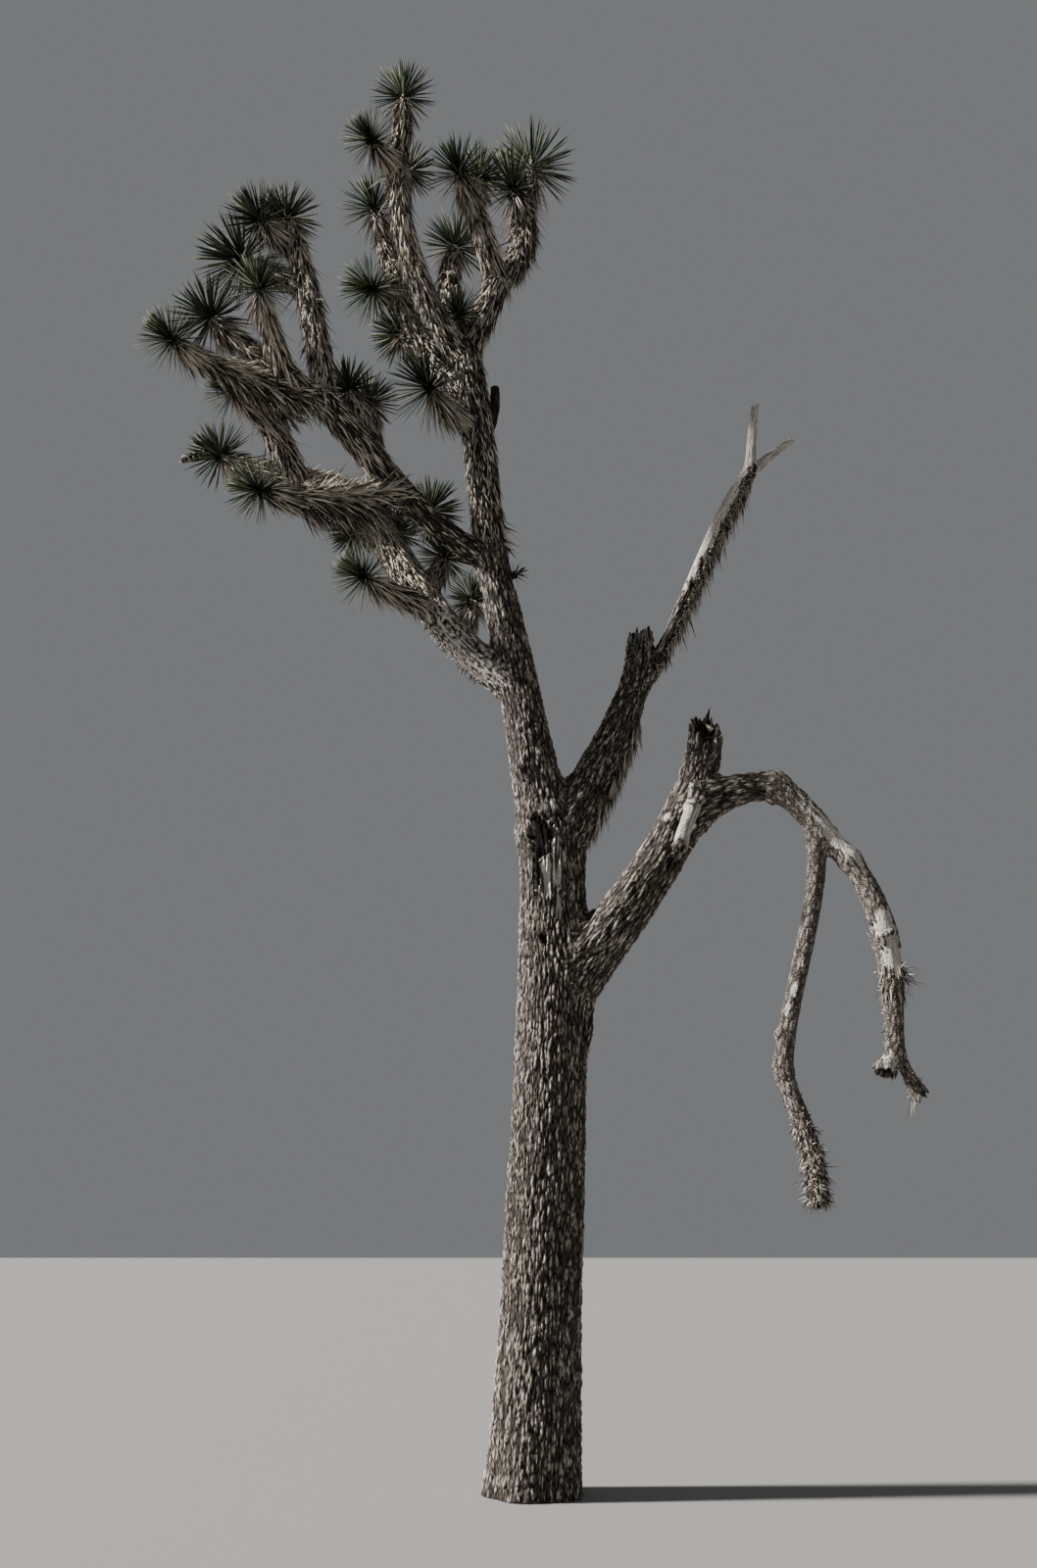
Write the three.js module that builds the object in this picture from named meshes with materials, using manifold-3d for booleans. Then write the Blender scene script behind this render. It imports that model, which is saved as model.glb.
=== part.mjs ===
import * as THREE from 'three';
import { mergeVertices } from 'three/addons/utils/BufferGeometryUtils.js';
import Module from 'manifold-3d';

const wasm = await Module();
wasm.setup();
const { Manifold, Mesh } = wasm;

// Driving sizes, in millimetres
const GAP = 0.5;
const TRUNK_SIDES = 18;
const LIMB_SIDES = 8;
const TRUNK_STEP = 400;
const LIMB_STEP = 460;
const DOME_DEPTH = 0.35;
const FLARE_HEIGHT = 420;
const FLARE_LOBES = 5;
const FLARE_DEPTH = 0.07;
const BURIED = 60;
const GROUND_SIDE = 2000;
const GROUND_DEPTH = 400;

// Makes the widest point of a double bend equal to its sway
const SWAY_SHAPE = 6 * Math.sqrt(3);

// A broken end: teeth on its rim round a hollow with a sunken floor, all in shares of the radius
const TOOTH_RARITY = 1.5;
const HOLLOW_GIRTH = 0.55;
const HOLLOW_ROUGHNESS = 0.5;
const HOLLOW_SINK = 0.6;
const FLOOR_SINK = 0.4;

// A swelling: how deep it sits in its limb, how much taller than wide it is, and its facets
const KNOT_SINK = 0.25;
const KNOT_STRETCH = 1.15;
const KNOT_AROUND = 8;
const KNOT_UP = 5;

// Rosettes of leaves
const STEM_GIRTH = 150;
const NECK_GIRTH = 82;
const STEM_SIDES = 6;
const STEM_STEP = 150;
const STEM_SHARE = 0.92;
const STEM_BEND = 0.4;
const STEM_PROFILE = [1, 1, 1.04, 0.98, 0.84];
const STALK_RADII = [15, 13, 17, 14, 9];
const STALK_ARCH = 20;
const STALK_SIDES = 6;
const STALK_STEP = 90;
const LEAVES_SINGLE = 15;
const LEAVES_FORKED = 12;
const LEAVES_SPROUT = 6;
const LEAF_WIDTH = 36;
const LEAF_KEEL = 14;
const LEAF_WIDEST = 0.32;
const LEAF_CLEARANCE = 8;
const LEAF_TRIES = 6;
const LEAF_ROOT = 0.25;
const SHORTEST_LEAF = 0.9;
const LENGTH_SPREAD = 0.12;

// Angles from the rosette's axis, first to last, and how they crowd towards the tip
const FIRST_ANGLE = 0.12;
const ANGLE_RANGE = 1.88;
const ANGLE_CROWDING = 0.8;
const TURN_SPREAD = 0.5;

// What each new try for a leaf changes: its angle, its turn and its length
const ANGLE_RETRY = 0.06;
const TURN_RETRY = 0.6;
const LENGTH_RETRY = 0.1;
const GOLDEN_ANGLE = Math.PI * (3 - Math.sqrt(5));
const SEED = 20117;
const MASS_SEED_STEP = 101;

// Limits for welding points, for parallel pieces, and for straight pieces that stand for a tube
const WELD = 1e-4;
const PARALLEL = 1e-6;
const PIECE_STEP = 120;

const UP = new THREE.Vector3(0, 0, 1);

// Colours of the bark, of wood without bark and of the leaves
const FINISHES = {
  bark: { color: 0x857c72, roughness: 0.95, metalness: 0 },
  bare_wood: { color: 0xb0a696, roughness: 0.85, metalness: 0 },
  foliage: { color: 0x7c8a68, roughness: 0.65, metalness: 0 },
};

/*
 * Every limb grows from a station along an earlier one, "aside" its middle line, and runs to "reach"
 * from there. Its middle bows, and sways both ways, by the given amounts. The girths are its
 * diameters at five even stations. A ragged end is broken off, and any other end is round.
 */
const LIMBS = {
  trunk: { reach: [125, 0, 3900], bow: [25, 0, 0], sway: [-10, 0, 0], girths: [545, 480, 455, 435, 400] },
  left_stem: {
    on: 'trunk', at: 1, aside: [-45, 0, 0], reach: [-370, 120, 2010], bow: [20, 0, 0],
    girths: [340, 300, 260, 245, 215],
  },
  dead_bough: {
    on: 'trunk', at: 1, aside: [80, 0, 0], reach: [545, 360, 1490], bow: [80, 0, -25], sway: [-15, -10, 5],
    girths: [325, 285, 245, 200, 160], ragged: 0.7,
  },
  right_bough: {
    on: 'trunk', at: 0.77, aside: [160, -20, -20], reach: [800, -400, 1520], bow: [115, -70, -70],
    sway: [-25, 20, 10], girths: [350, 310, 280, 245, 200], ragged: 0.5,
  },
  leader: {
    on: 'left_stem', at: 1, reach: [-190, 130, 1680], bow: [20, 0, 0], girths: [215, 235, 250, 240, 225],
  },
  leader_stub: {
    on: 'leader', at: 0.6, aside: [75, 20, 10], reach: [10, 30, 320], bow: [10, 0, 0],
    girths: [85, 80, 75, 70, 65],
  },
  left_bough: {
    on: 'left_stem', at: 0.98, reach: [-1140, -620, 890], bow: [-45, -75, -105], sway: [-15, 25, -10],
    girths: [190, 165, 190, 200, 180],
  },
  lower_bough: {
    on: 'left_stem', at: 0.52, aside: [-70, 0, -10], reach: [-1070, 460, 1550], bow: [-50, 25, -40],
    sway: [-15, -10, -10], girths: [235, 220, 210, 230, 210],
  },
  lower_bough_tip: {
    on: 'lower_bough', at: 1, reach: [-470, -220, 130], bow: [0, 25, 20], sway: [5, 5, 20],
    girths: [210, 200, 195, 185, 180],
  },
  dead_limb: {
    on: 'dead_bough', at: 0.78, aside: [60, 10, -25], reach: [885, 450, 1875], bow: [-15, -5, 10],
    sway: [15, 5, -10], girths: [115, 85, 100, 115, 100], bare: true,
  },
  dead_twig_upright: {
    on: 'dead_limb', at: 0.99, reach: [60, 50, 535], bow: [-5, 5, 0], girths: [88, 78, 72, 64, 55],
    ragged: 1.2, bare: true,
  },
  dead_twig_slanting: {
    on: 'dead_limb', at: 1, aside: [30, 10, -10], reach: [310, 190, 340], bow: [-10, 0, 10],
    girths: [80, 70, 64, 56, 42], ragged: 1.2, bare: true,
  },
  arch_rise: {
    on: 'right_bough', at: 0.69, aside: [20, -10, -40], reach: [495, -160, 135], bow: [-15, 0, 50],
    girths: [260, 230, 205, 180, 165],
  },
  arch_fall: {
    on: 'arch_rise', at: 1, reach: [400, -140, -490], bow: [15, -5, 15], sway: [5, -5, 5],
    girths: [160, 160, 160, 135, 115],
  },
  hanging_outer: {
    on: 'arch_fall', at: 1, reach: [165, -130, -1165], bow: [95, -10, 15], sway: [15, 0, 0],
    girths: [120, 145, 150, 115, 100],
  },
  outer_stub_left: {
    on: 'hanging_outer', at: 0.97, aside: [-10, 0, 0], reach: [-60, -30, -120],
    girths: [65, 75, 85, 95, 105], ragged: 0.4,
  },
  outer_stub_right: {
    on: 'hanging_outer', at: 0.98, aside: [15, 0, 0], reach: [100, -20, -235], bow: [-10, 0, -5],
    girths: [70, 70, 70, 80, 95], ragged: 0.8,
  },
  hanging_inner: {
    on: 'arch_fall', at: 0.62, aside: [-40, 0, -30], reach: [-290, -170, -1410], bow: [25, 0, -5],
    sway: [20, 5, -5], girths: [130, 105, 100, 100, 110],
  },
  hanging_inner_tip: {
    on: 'hanging_inner', at: 1, reach: [145, -60, -720], bow: [30, -5, 5], sway: [-10, 0, 0],
    girths: [110, 120, 130, 125, 120], ragged: 0.7,
  },
  broken_twig: {
    on: 'right_bough', at: 0.76, aside: [5, -60, -30], reach: [-130, -215, -390], bow: [5, -50, 0],
    sway: [12, 0, 0], girths: [110, 100, 80, 78, 85], ragged: 0.35,
  },
  top_bough: {
    on: 'leader', at: 0.9, reach: [-485, -340, 1735], bow: [-180, -40, -55], sway: [10, 25, 5],
    girths: [185, 170, 170, 165, 160],
  },
  back_bough: {
    on: 'leader', at: 0.8, aside: [-80, 25, -15], reach: [-630, 500, 1640], bow: [-80, 55, -45],
    girths: [155, 160, 150, 150, 140],
  },
  right_crown: {
    on: 'leader', at: 0.93, reach: [220, 160, 775], bow: [-5, 5, 0], girths: [185, 185, 195, 205, 205],
  },
  right_crown_left: {
    on: 'right_crown', at: 0.96, reach: [-170, -280, 450], bow: [10, 15, 15],
    girths: [190, 190, 185, 180, 175],
  },
  right_crown_right: {
    on: 'right_crown', at: 0.98, reach: [190, 300, 800], bow: [50, 40, -25],
    girths: [190, 195, 205, 210, 215],
  },
  middle_crown: {
    on: 'leader', at: 0.96, aside: [15, 15, 0], reach: [-165, 540, 1110], bow: [-50, 20, -15],
    girths: [155, 170, 175, 180, 170],
  },
  left_crown_top: {
    on: 'left_bough', at: 0.96, reach: [-270, 160, 1330], bow: [30, -5, 5],
    girths: [180, 170, 175, 170, 165],
  },
  left_crown_side: {
    on: 'left_bough', at: 1, reach: [-660, -200, 115], bow: [-5, 5, -25],
    girths: [180, 190, 190, 180, 165],
  },
  left_crown_front: {
    on: 'left_bough', at: 1, aside: [-25, 0, 30], reach: [-275, -400, 320], bow: [-55, -5, -55],
    sway: [-15, 15, 0], girths: [170, 165, 155, 145, 125],
  },
  low_crown: {
    on: 'lower_bough_tip', at: 0.94, aside: [5, -20, -15], reach: [-225, -250, 365], bow: [15, 0, 10],
    girths: [180, 190, 195, 190, 180],
  },
  level_branch: {
    on: 'left_bough', at: 0.49, aside: [-20, -15, -30], reach: [-600, -330, -200], bow: [0, 10, -20],
    girths: [185, 190, 195, 200, 190],
  },
};

// Swellings under a bough or where a side shoot was lost: which limb, how far along, which way, how large
const KNOTS = [
  { on: 'trunk', at: 0.7, way: [1, -0.15, 0], size: 85, stretch: 2.6 },
  { on: 'right_bough', at: 0.62, way: [0.9, -0.2, -0.5], size: 62 },
  { on: 'arch_rise', at: 0.97, way: [0.1, -0.1, -1], size: 42 },
  { on: 'arch_fall', at: 0.8, way: [-0.8, -0.2, -0.6], size: 48 },
  { on: 'hanging_inner', at: 0.86, way: [-1, -0.3, 0], size: 36 },
  { on: 'left_stem', at: 0.2, way: [-0.6, -0.8, 0], size: 74 },
];

/*
 * Every mass of foliage is one stem, or a fork of two, with a rosette of leaves at each neck. "reach"
 * runs from a station along the limb to the neck, and "rise" turns the rosette upwards.
 */
const MASSES = {
  crown_tip_leaves: { on: 'top_bough', at: 1, necks: [{ reach: [0, 0, 320], leaf: 270, rise: 0.3 }] },
  crown_left_leaves: {
    on: 'top_bough', at: 0.85, necks: [{ reach: [-175, -180, 70], leaf: 280, rise: 0.3 }],
  },
  crown_behind_leaves: {
    on: 'top_bough', at: 0.75, necks: [{ reach: [45, 205, 320], leaf: 250, rise: 0.3 }],
  },
  back_tip_leaves: { on: 'back_bough', at: 1, necks: [{ reach: [-75, -70, 215], leaf: 310, rise: 0 }] },
  back_middle_leaves: {
    on: 'back_bough', at: 0.72, necks: [{ reach: [-165, -155, -130], leaf: 300, rise: 0.4 }],
  },
  back_low_leaves: {
    on: 'back_bough', at: 0.39, necks: [{ reach: [-160, 260, 190], leaf: 285, rise: 0.2 }],
  },
  leader_front_leaves: {
    on: 'leader', at: 0.59, necks: [{ reach: [-325, -300, 155], leaf: 370, rise: 0.5 }],
  },
  right_inner_leaves: {
    on: 'right_crown_left', at: 1,
    necks: [
      { reach: [-105, -140, 205], leaf: 320, rise: 0.3 },
      { reach: [35, 130, 370], leaf: 265, rise: 0.3 },
    ],
  },
  right_outer_leaves: {
    on: 'right_crown_right', at: 1,
    necks: [{ reach: [-75, -100, 175], leaf: 420, rise: 0 }, { reach: [75, 150, 565], leaf: 400, rise: 0 }],
  },
  middle_tip_leaves: {
    on: 'middle_crown', at: 1, necks: [{ reach: [40, 100, 275], leaf: 325, rise: 0.2 }],
  },
  middle_front_leaves: {
    on: 'middle_crown', at: 0.27, necks: [{ reach: [10, -195, 40], leaf: 240, rise: 0.5 }],
  },
  left_top_leaves: {
    on: 'left_crown_top', at: 1,
    necks: [
      { reach: [-75, 60, 260], leaf: 275, rise: 0.2 },
      { reach: [-240, -60, 155], leaf: 305, rise: 0.3 },
    ],
  },
  left_behind_leaves: {
    on: 'left_crown_top', at: 0.7, necks: [{ reach: [-485, 145, 335], leaf: 385, rise: 0 }],
  },
  left_front_leaves: {
    on: 'left_crown_front', at: 1, necks: [{ reach: [-30, -80, 150], leaf: 265, rise: 0.2 }],
  },
  left_upper_leaves: {
    on: 'left_crown_front', at: 0.36, necks: [{ reach: [-560, 140, 505], leaf: 330, rise: 0.2 }],
  },
  left_tip_leaves: {
    on: 'left_crown_side', at: 1, necks: [{ reach: [-235, -180, 75], leaf: 265, rise: 0.3 }],
  },
  low_left_leaves: { on: 'low_crown', at: 1, necks: [{ reach: [-185, -130, 85], leaf: 245, rise: 0 }] },
  low_back_leaves: { on: 'low_crown', at: 0.8, necks: [{ reach: [65, 150, 205], leaf: 215, rise: 0.2 }] },
  low_outer_leaves: {
    on: 'lower_bough_tip', at: 1, necks: [{ reach: [-550, 150, 220], leaf: 285, rise: 0.3 }],
    stalk: [-270, -20, -60],
  },
  level_tip_leaves: {
    on: 'level_branch', at: 1, necks: [{ reach: [-220, -180, -35], leaf: 250, rise: 0.1 }],
  },
  left_bough_top_leaves: {
    on: 'left_bough', at: 0.64,
    necks: [{ reach: [-200, 65, 585], leaf: 240, rise: 0 }, { reach: [-90, 265, 605], leaf: 235, rise: 0 }],
  },
  left_bough_back_leaves: {
    on: 'left_bough', at: 0.29, necks: [{ reach: [-60, 420, 300], leaf: 275, rise: 0.6 }],
  },
  lower_back_leaves: {
    on: 'lower_bough', at: 0.66, necks: [{ reach: [-90, 210, 365], leaf: 245, rise: 0 }],
  },
  lower_inner_leaves: {
    on: 'lower_bough', at: 0.49, necks: [{ reach: [115, 295, 450], leaf: 250, rise: 0 }],
  },
  lower_foot_leaves: {
    on: 'lower_bough', at: 0.24, necks: [{ reach: [65, 170, 400], leaf: 220, rise: 0 }],
  },
  lower_outer_leaves: {
    on: 'lower_bough', at: 0.43, necks: [{ reach: [-455, -295, 125], leaf: 275, rise: 0.2 }],
  },
  lower_left_leaves: {
    on: 'lower_bough', at: 0.83, necks: [{ reach: [-220, 185, 115], leaf: 230, rise: 0 }],
  },
  sprout_leaves: {
    on: 'left_stem', at: 0.9, necks: [{ reach: [135, -40, 20], leaf: 95, rise: 0.2 }],
    stem: 70, sprout: true,
  },
};

function vector(values = [0, 0, 0]) {
  return new THREE.Vector3(...values);
}

// Gives the same row of numbers between 0 and 1 for the same seed
function seededRandom(seed) {
  let state = seed >>> 0;
  return () => {
    state = (Math.imul(state, 1664525) + 1013904223) >>> 0;
    return state / 4294967296;
  };
}

// The middle line of a limb: a straight run that bows and sways
class LimbLine extends THREE.Curve {
  constructor(foot, reach, bow, sway) {
    super();
    this.foot = foot;
    this.reach = reach;
    this.bow = bow;
    this.sway = sway;
  }

  getPoint(t, target = new THREE.Vector3()) {
    const arch = 4 * t * (1 - t);
    const wave = SWAY_SHAPE * t * (1 - t) * (1 - 2 * t);
    target.copy(this.foot).addScaledVector(this.reach, t);
    return target.addScaledVector(this.bow, arch).addScaledVector(this.sway, wave);
  }
}

// Reads a value between evenly spaced ones
function between(values, t) {
  const place = Math.min(Math.max(t, 0), 1) * (values.length - 1);
  const low = Math.min(Math.floor(place), values.length - 2);
  return values[low] + (values[low + 1] - values[low]) * (place - low);
}

// Closes rings of equal size into one outward skin, with a point at each end
function skin(rings, firstPoint, lastPoint) {
  const sides = rings[0].length;
  const points = [firstPoint, ...rings.flat(), lastPoint];
  const last = points.length - 1;
  const faces = [];
  for (let k = 0; k < sides; k += 1) {
    const next = (k + 1) % sides;
    faces.push(0, 1 + next, 1 + k);
    for (let r = 0; r < rings.length - 1; r += 1) {
      const a = 1 + r * sides + k;
      const b = 1 + r * sides + next;
      faces.push(a, b, b + sides, a, b + sides, a + sides);
    }
    const top = 1 + (rings.length - 1) * sides;
    faces.push(last, top + k, top + next);
  }
  const geometry = new THREE.BufferGeometry();
  const places = points.flatMap((p) => p.toArray());
  geometry.setAttribute('position', new THREE.Float32BufferAttribute(places, 3));
  geometry.setIndex(faces);
  return geometry;
}

// Turns a closed mesh into a solid for joining and cutting
function toSolid(geometry) {
  const bare = new THREE.BufferGeometry();
  bare.setAttribute('position', geometry.getAttribute('position'));
  bare.setIndex(geometry.getIndex());
  const merged = mergeVertices(bare, WELD);
  return new Manifold(
    new Mesh({
      numProp: 3,
      vertProperties: new Float32Array(merged.getAttribute('position').array),
      triVerts: new Uint32Array(merged.getIndex().array),
    }),
  );
}

// One ring round the middle line
function ringAt(centre, normal, binormal, radius, sides, shape = () => 1) {
  const ring = [];
  for (let k = 0; k < sides; k += 1) {
    const angle = (2 * Math.PI * k) / sides;
    const r = radius * shape(angle);
    const point = centre.clone().addScaledVector(normal, Math.cos(angle) * r);
    ring.push(point.addScaledVector(binormal, Math.sin(angle) * r));
  }
  return ring;
}

// A tapering tube along a line with a round or a broken end, widened by "grow"
function tube({ line, radiusAt, sides, step, ragged = 0, grow = 0, shapeAt = () => () => 1, seed = SEED }) {
  const steps = Math.max(3, Math.round(line.getLength() / step));
  const frames = line.computeFrenetFrames(steps, false);
  const rings = [];
  for (let i = 0; i <= steps; i += 1) {
    const u = i / steps;
    const centre = line.getPointAt(u).addScaledVector(frames.tangents[i], i === 0 ? -grow : 0);
    const radius = radiusAt(u) + grow;
    rings.push(ringAt(centre, frames.normals[i], frames.binormals[i], radius, sides, shapeAt(centre.z)));
  }
  const start = line.getPointAt(0).addScaledVector(frames.tangents[0], -grow);
  const end = line.getPointAt(1);
  const tangent = frames.tangents[steps];
  const normal = frames.normals[steps];
  const binormal = frames.binormals[steps];
  const radius = radiusAt(1);
  if (ragged > 0) {
    const random = seededRandom(seed);
    const teeth = rings[steps].map((point) => {
      const height = (random() ** TOOTH_RARITY) * ragged * radius;
      return point.clone().addScaledVector(tangent, height + grow);
    });
    rings.push(teeth);
    const hollow = ringAt(end, normal, binormal, radius * HOLLOW_GIRTH + grow, sides).map((point) => {
      const height = (random() - HOLLOW_SINK) * ragged * radius * HOLLOW_ROUGHNESS;
      return point.addScaledVector(tangent, height + grow);
    });
    rings.push(hollow);
    const floor = end.clone().addScaledVector(tangent, grow - FLOOR_SINK * ragged * radius);
    return toSolid(skin(rings, start, floor));
  }
  const shoulder = end.clone().addScaledVector(tangent, Math.SQRT1_2 * (radius * DOME_DEPTH + grow));
  rings.push(ringAt(shoulder, normal, binormal, Math.SQRT1_2 * (radius + grow), sides));
  const top = end.clone().addScaledVector(tangent, radius * DOME_DEPTH + grow);
  return toSolid(skin(rings, start, top));
}

// The trunk widens into low lobes over its roots
function flareAt(z) {
  const depth = FLARE_DEPTH * Math.max(0, 1 - z / FLARE_HEIGHT) ** 2;
  return (angle) => 1 + depth * (1 + Math.cos(FLARE_LOBES * angle));
}

// A rounded rise on a limb
function knotSolid(knot, lines, grow) {
  const { line, radiusAt } = lines[knot.on];
  const ball = new THREE.SphereGeometry(1, KNOT_AROUND, KNOT_UP);
  const size = knot.size + grow;
  const outward = vector(knot.way).normalize();
  const out = radiusAt(knot.at) - knot.size * KNOT_SINK;
  const centre = line.getPointAt(knot.at).addScaledVector(outward, out);
  ball.scale(size, size, size * (knot.stretch ?? KNOT_STRETCH));
  ball.translate(centre.x, centre.y, centre.z);
  return toSolid(ball);
}

// Every limb's middle line, with its radius along it
function limbLines() {
  const lines = {};
  for (const [name, limb] of Object.entries(LIMBS)) {
    const foot = vector(limb.aside);
    if (limb.on) {
      foot.add(lines[limb.on].line.getPointAt(limb.at));
    }
    const line = new LimbLine(foot, vector(limb.reach), vector(limb.bow), vector(limb.sway));
    const radiusAt = (u) => between(limb.girths, u) / 2;
    lines[name] = { line, radiusAt };
  }
  return lines;
}

// The block of ground under the flat cut
function groundBlock() {
  const block = new THREE.BoxGeometry(GROUND_SIDE, GROUND_SIDE, GROUND_DEPTH);
  block.translate(0, 0, -GROUND_DEPTH / 2);
  return toSolid(block);
}

// The trunk starts below the ground and is cut level with it
function trunkSolid(entry, grow) {
  const { line, radiusAt } = entry;
  const first = line.getPointAt(0);
  const down = first.clone().addScaledVector(UP, -BURIED);
  const reach = line.getPointAt(1).sub(down);
  const longer = new LimbLine(down, reach, line.bow, line.sway);
  const solid = tube({
    line: longer, radiusAt, sides: TRUNK_SIDES, step: TRUNK_STEP, grow, shapeAt: flareAt,
  });
  return grow > 0 ? solid : solid.subtract(groundBlock());
}

// One limb with its swellings
function limbSolid(name, lines, grow) {
  const index = Object.keys(LIMBS).indexOf(name);
  let solid;
  if (name === 'trunk') {
    solid = trunkSolid(lines.trunk, grow);
  } else {
    const { ragged } = LIMBS[name];
    solid = tube({ ...lines[name], sides: LIMB_SIDES, step: LIMB_STEP, ragged, grow, seed: SEED + index });
  }
  for (const knot of KNOTS.filter((k) => k.on === name)) {
    solid = solid.add(knotSolid(knot, lines, grow));
  }
  return solid;
}

// Keeps the largest of the pieces that a cut leaves
function largestPiece(solid) {
  const { vertProperties, triVerts } = solid.getMesh();
  const owner = Array.from({ length: vertProperties.length / 3 }, (_, i) => i);
  const find = (i) => {
    let root = i;
    while (owner[root] !== root) {
      owner[root] = owner[owner[root]];
      root = owner[root];
    }
    return root;
  };
  for (let i = 0; i < triVerts.length; i += 3) {
    owner[find(triVerts[i + 1])] = find(triVerts[i]);
    owner[find(triVerts[i + 2])] = find(triVerts[i]);
  }
  const groups = new Map();
  for (let i = 0; i < triVerts.length; i += 3) {
    const root = find(triVerts[i]);
    if (!groups.has(root)) {
      groups.set(root, []);
    }
    groups.get(root).push(triVerts[i], triVerts[i + 1], triVerts[i + 2]);
  }
  const sizes = [...groups.values()].map((faces) => ({ faces, size: pieceVolume(vertProperties, faces) }));
  const [largest] = sizes.sort((a, b) => b.size - a.size);
  const geometry = new THREE.BufferGeometry();
  geometry.setAttribute('position', new THREE.Float32BufferAttribute(vertProperties, 3));
  geometry.setIndex(largest.faces);
  return geometry;
}

// The volume inside some of a closed mesh's faces
function pieceVolume(positions, faces) {
  const at = (i) => new THREE.Vector3().fromArray(positions, 3 * i);
  let volume = 0;
  for (let i = 0; i < faces.length; i += 3) {
    volume += at(faces[i]).dot(at(faces[i + 1]).cross(at(faces[i + 2]))) / 6;
  }
  return volume;
}

// The shortest distance between two straight pieces
function segmentGap(a, b) {
  const d1 = a.end.clone().sub(a.start);
  const d2 = b.end.clone().sub(b.start);
  const r = a.start.clone().sub(b.start);
  const aa = d1.dot(d1);
  const ee = d2.dot(d2);
  const f = d2.dot(r);
  const c = d1.dot(r);
  const bb = d1.dot(d2);
  const denom = aa * ee - bb * bb;
  let s = denom > PARALLEL ? THREE.MathUtils.clamp((bb * f - c * ee) / denom, 0, 1) : 0;
  let t = (bb * s + f) / ee;
  if (t < 0 || t > 1) {
    t = THREE.MathUtils.clamp(t, 0, 1);
    s = THREE.MathUtils.clamp((bb * t - c) / aa, 0, 1);
  }
  const p = a.start.clone().addScaledVector(d1, s);
  return p.distanceTo(b.start.clone().addScaledVector(d2, t));
}

// Straight pieces with a radius that stand for a tube when leaves keep clear of it
function tubePieces({ line, radiusAt }, owner) {
  const count = Math.max(3, Math.ceil(line.getLength() / PIECE_STEP));
  return Array.from({ length: count }, (_, i) => ({
    owner,
    start: line.getPointAt(i / count),
    end: line.getPointAt((i + 1) / count),
    radius: Math.max(radiusAt(i / count), radiusAt((i + 1) / count)),
  }));
}

// The stems of a mass: each is a thatched tube that narrows to the neck of its rosette
function massStems(mass, lines) {
  const foot = lines[mass.on].line.getPointAt(mass.at);
  const atTip = 2 * lines[mass.on].radiusAt(1) * STEM_SHARE;
  const girth = mass.stem ?? (mass.at === 1 ? atTip : STEM_GIRTH);
  const profile = [...STEM_PROFILE.map((share) => share * girth), NECK_GIRTH];
  return mass.necks.map(({ reach, leaf, rise }) => {
    const run = vector(reach);
    const neck = foot.clone().add(run);
    const aim = run.clone().normalize().addScaledVector(UP, rise).normalize();
    const bend = neck.clone().addScaledVector(aim, -STEM_BEND * run.length());
    const line = new THREE.QuadraticBezierCurve3(foot, bend, neck);
    const radiusAt = (u) => Math.min(between(profile, u), Math.max(girth, NECK_GIRTH)) / 2;
    return { line, radiusAt, neck, aim, leaf };
  });
}

// A dry flower stalk that arches out of its rosette
function stalkSolid(neck, reach) {
  const line = new LimbLine(neck, vector(reach), vector([0, 0, STALK_ARCH]), vector());
  const radiusAt = (u) => between(STALK_RADII, u);
  return tube({ line, radiusAt, sides: STALK_SIDES, step: STALK_STEP });
}

// A bayonet leaf with a flat face and a keeled back, from inside the neck to its sharp tip
function leafSolid(leaf) {
  const { start, direction, side, length } = leaf;
  const keel = direction.clone().cross(side).normalize();
  const middle = start.clone().addScaledVector(direction, length * LEAF_WIDEST);
  const rim = [
    middle.clone().addScaledVector(side, LEAF_WIDTH / 2),
    middle.clone().addScaledVector(keel, LEAF_KEEL),
    middle.clone().addScaledVector(side, -LEAF_WIDTH / 2),
  ];
  return toSolid(skin([rim], start, start.clone().addScaledVector(direction, length)));
}

// Leaves on a golden-angle spiral, from upright round the tip to bent back below the neck
function plannedLeaf(stem, i, count, random, attempt) {
  const share = (i + 0.5) / count;
  const polar = (FIRST_ANGLE + ANGLE_RANGE * share ** ANGLE_CROWDING) * (1 - ANGLE_RETRY * attempt);
  const turn = i * GOLDEN_ANGLE + (random() - 0.5) * (TURN_SPREAD + TURN_RETRY * attempt);
  const side = new THREE.Vector3(1, 0, 0).cross(stem.aim).normalize();
  const across = stem.aim.clone().cross(side).normalize();
  const outward = side.clone().multiplyScalar(Math.cos(turn)).addScaledVector(across, Math.sin(turn));
  const upright = stem.aim.clone().multiplyScalar(Math.cos(polar));
  const direction = upright.addScaledVector(outward, Math.sin(polar));
  const fullness = SHORTEST_LEAF + LENGTH_SPREAD * random();
  const length = stem.leaf * fullness * (1 - LENGTH_RETRY * attempt);
  return {
    start: stem.neck.clone(),
    end: stem.neck.clone().addScaledVector(direction, length),
    direction,
    side: direction.clone().cross(stem.aim).normalize(),
    length,
  };
}

// Whether a leaf keeps clear of every other mass and limb
function isClear(leaf, owner, tubes, leaves) {
  const free = { start: leaf.start.clone().lerp(leaf.end, LEAF_ROOT), end: leaf.end };
  const clearOfTubes = tubes.every((piece) => {
    return piece.owner === owner || segmentGap(free, piece) > piece.radius + LEAF_CLEARANCE;
  });
  return clearOfTubes && leaves.every((other) => {
    return other.owner === owner || segmentGap(leaf, other) > LEAF_WIDTH + LEAF_CLEARANCE;
  });
}

// Gives a stem its leaves, each moved a little until it has room
function growLeaves(stem, owner, count, random, tubes, leaves) {
  for (let i = 0; i < count; i += 1) {
    for (let attempt = 0; attempt < LEAF_TRIES; attempt += 1) {
      const leaf = plannedLeaf(stem, i, count, random, attempt);
      if (isClear(leaf, owner, tubes, leaves)) {
        leaves.push({ ...leaf, owner });
        break;
      }
    }
  }
}

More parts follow.
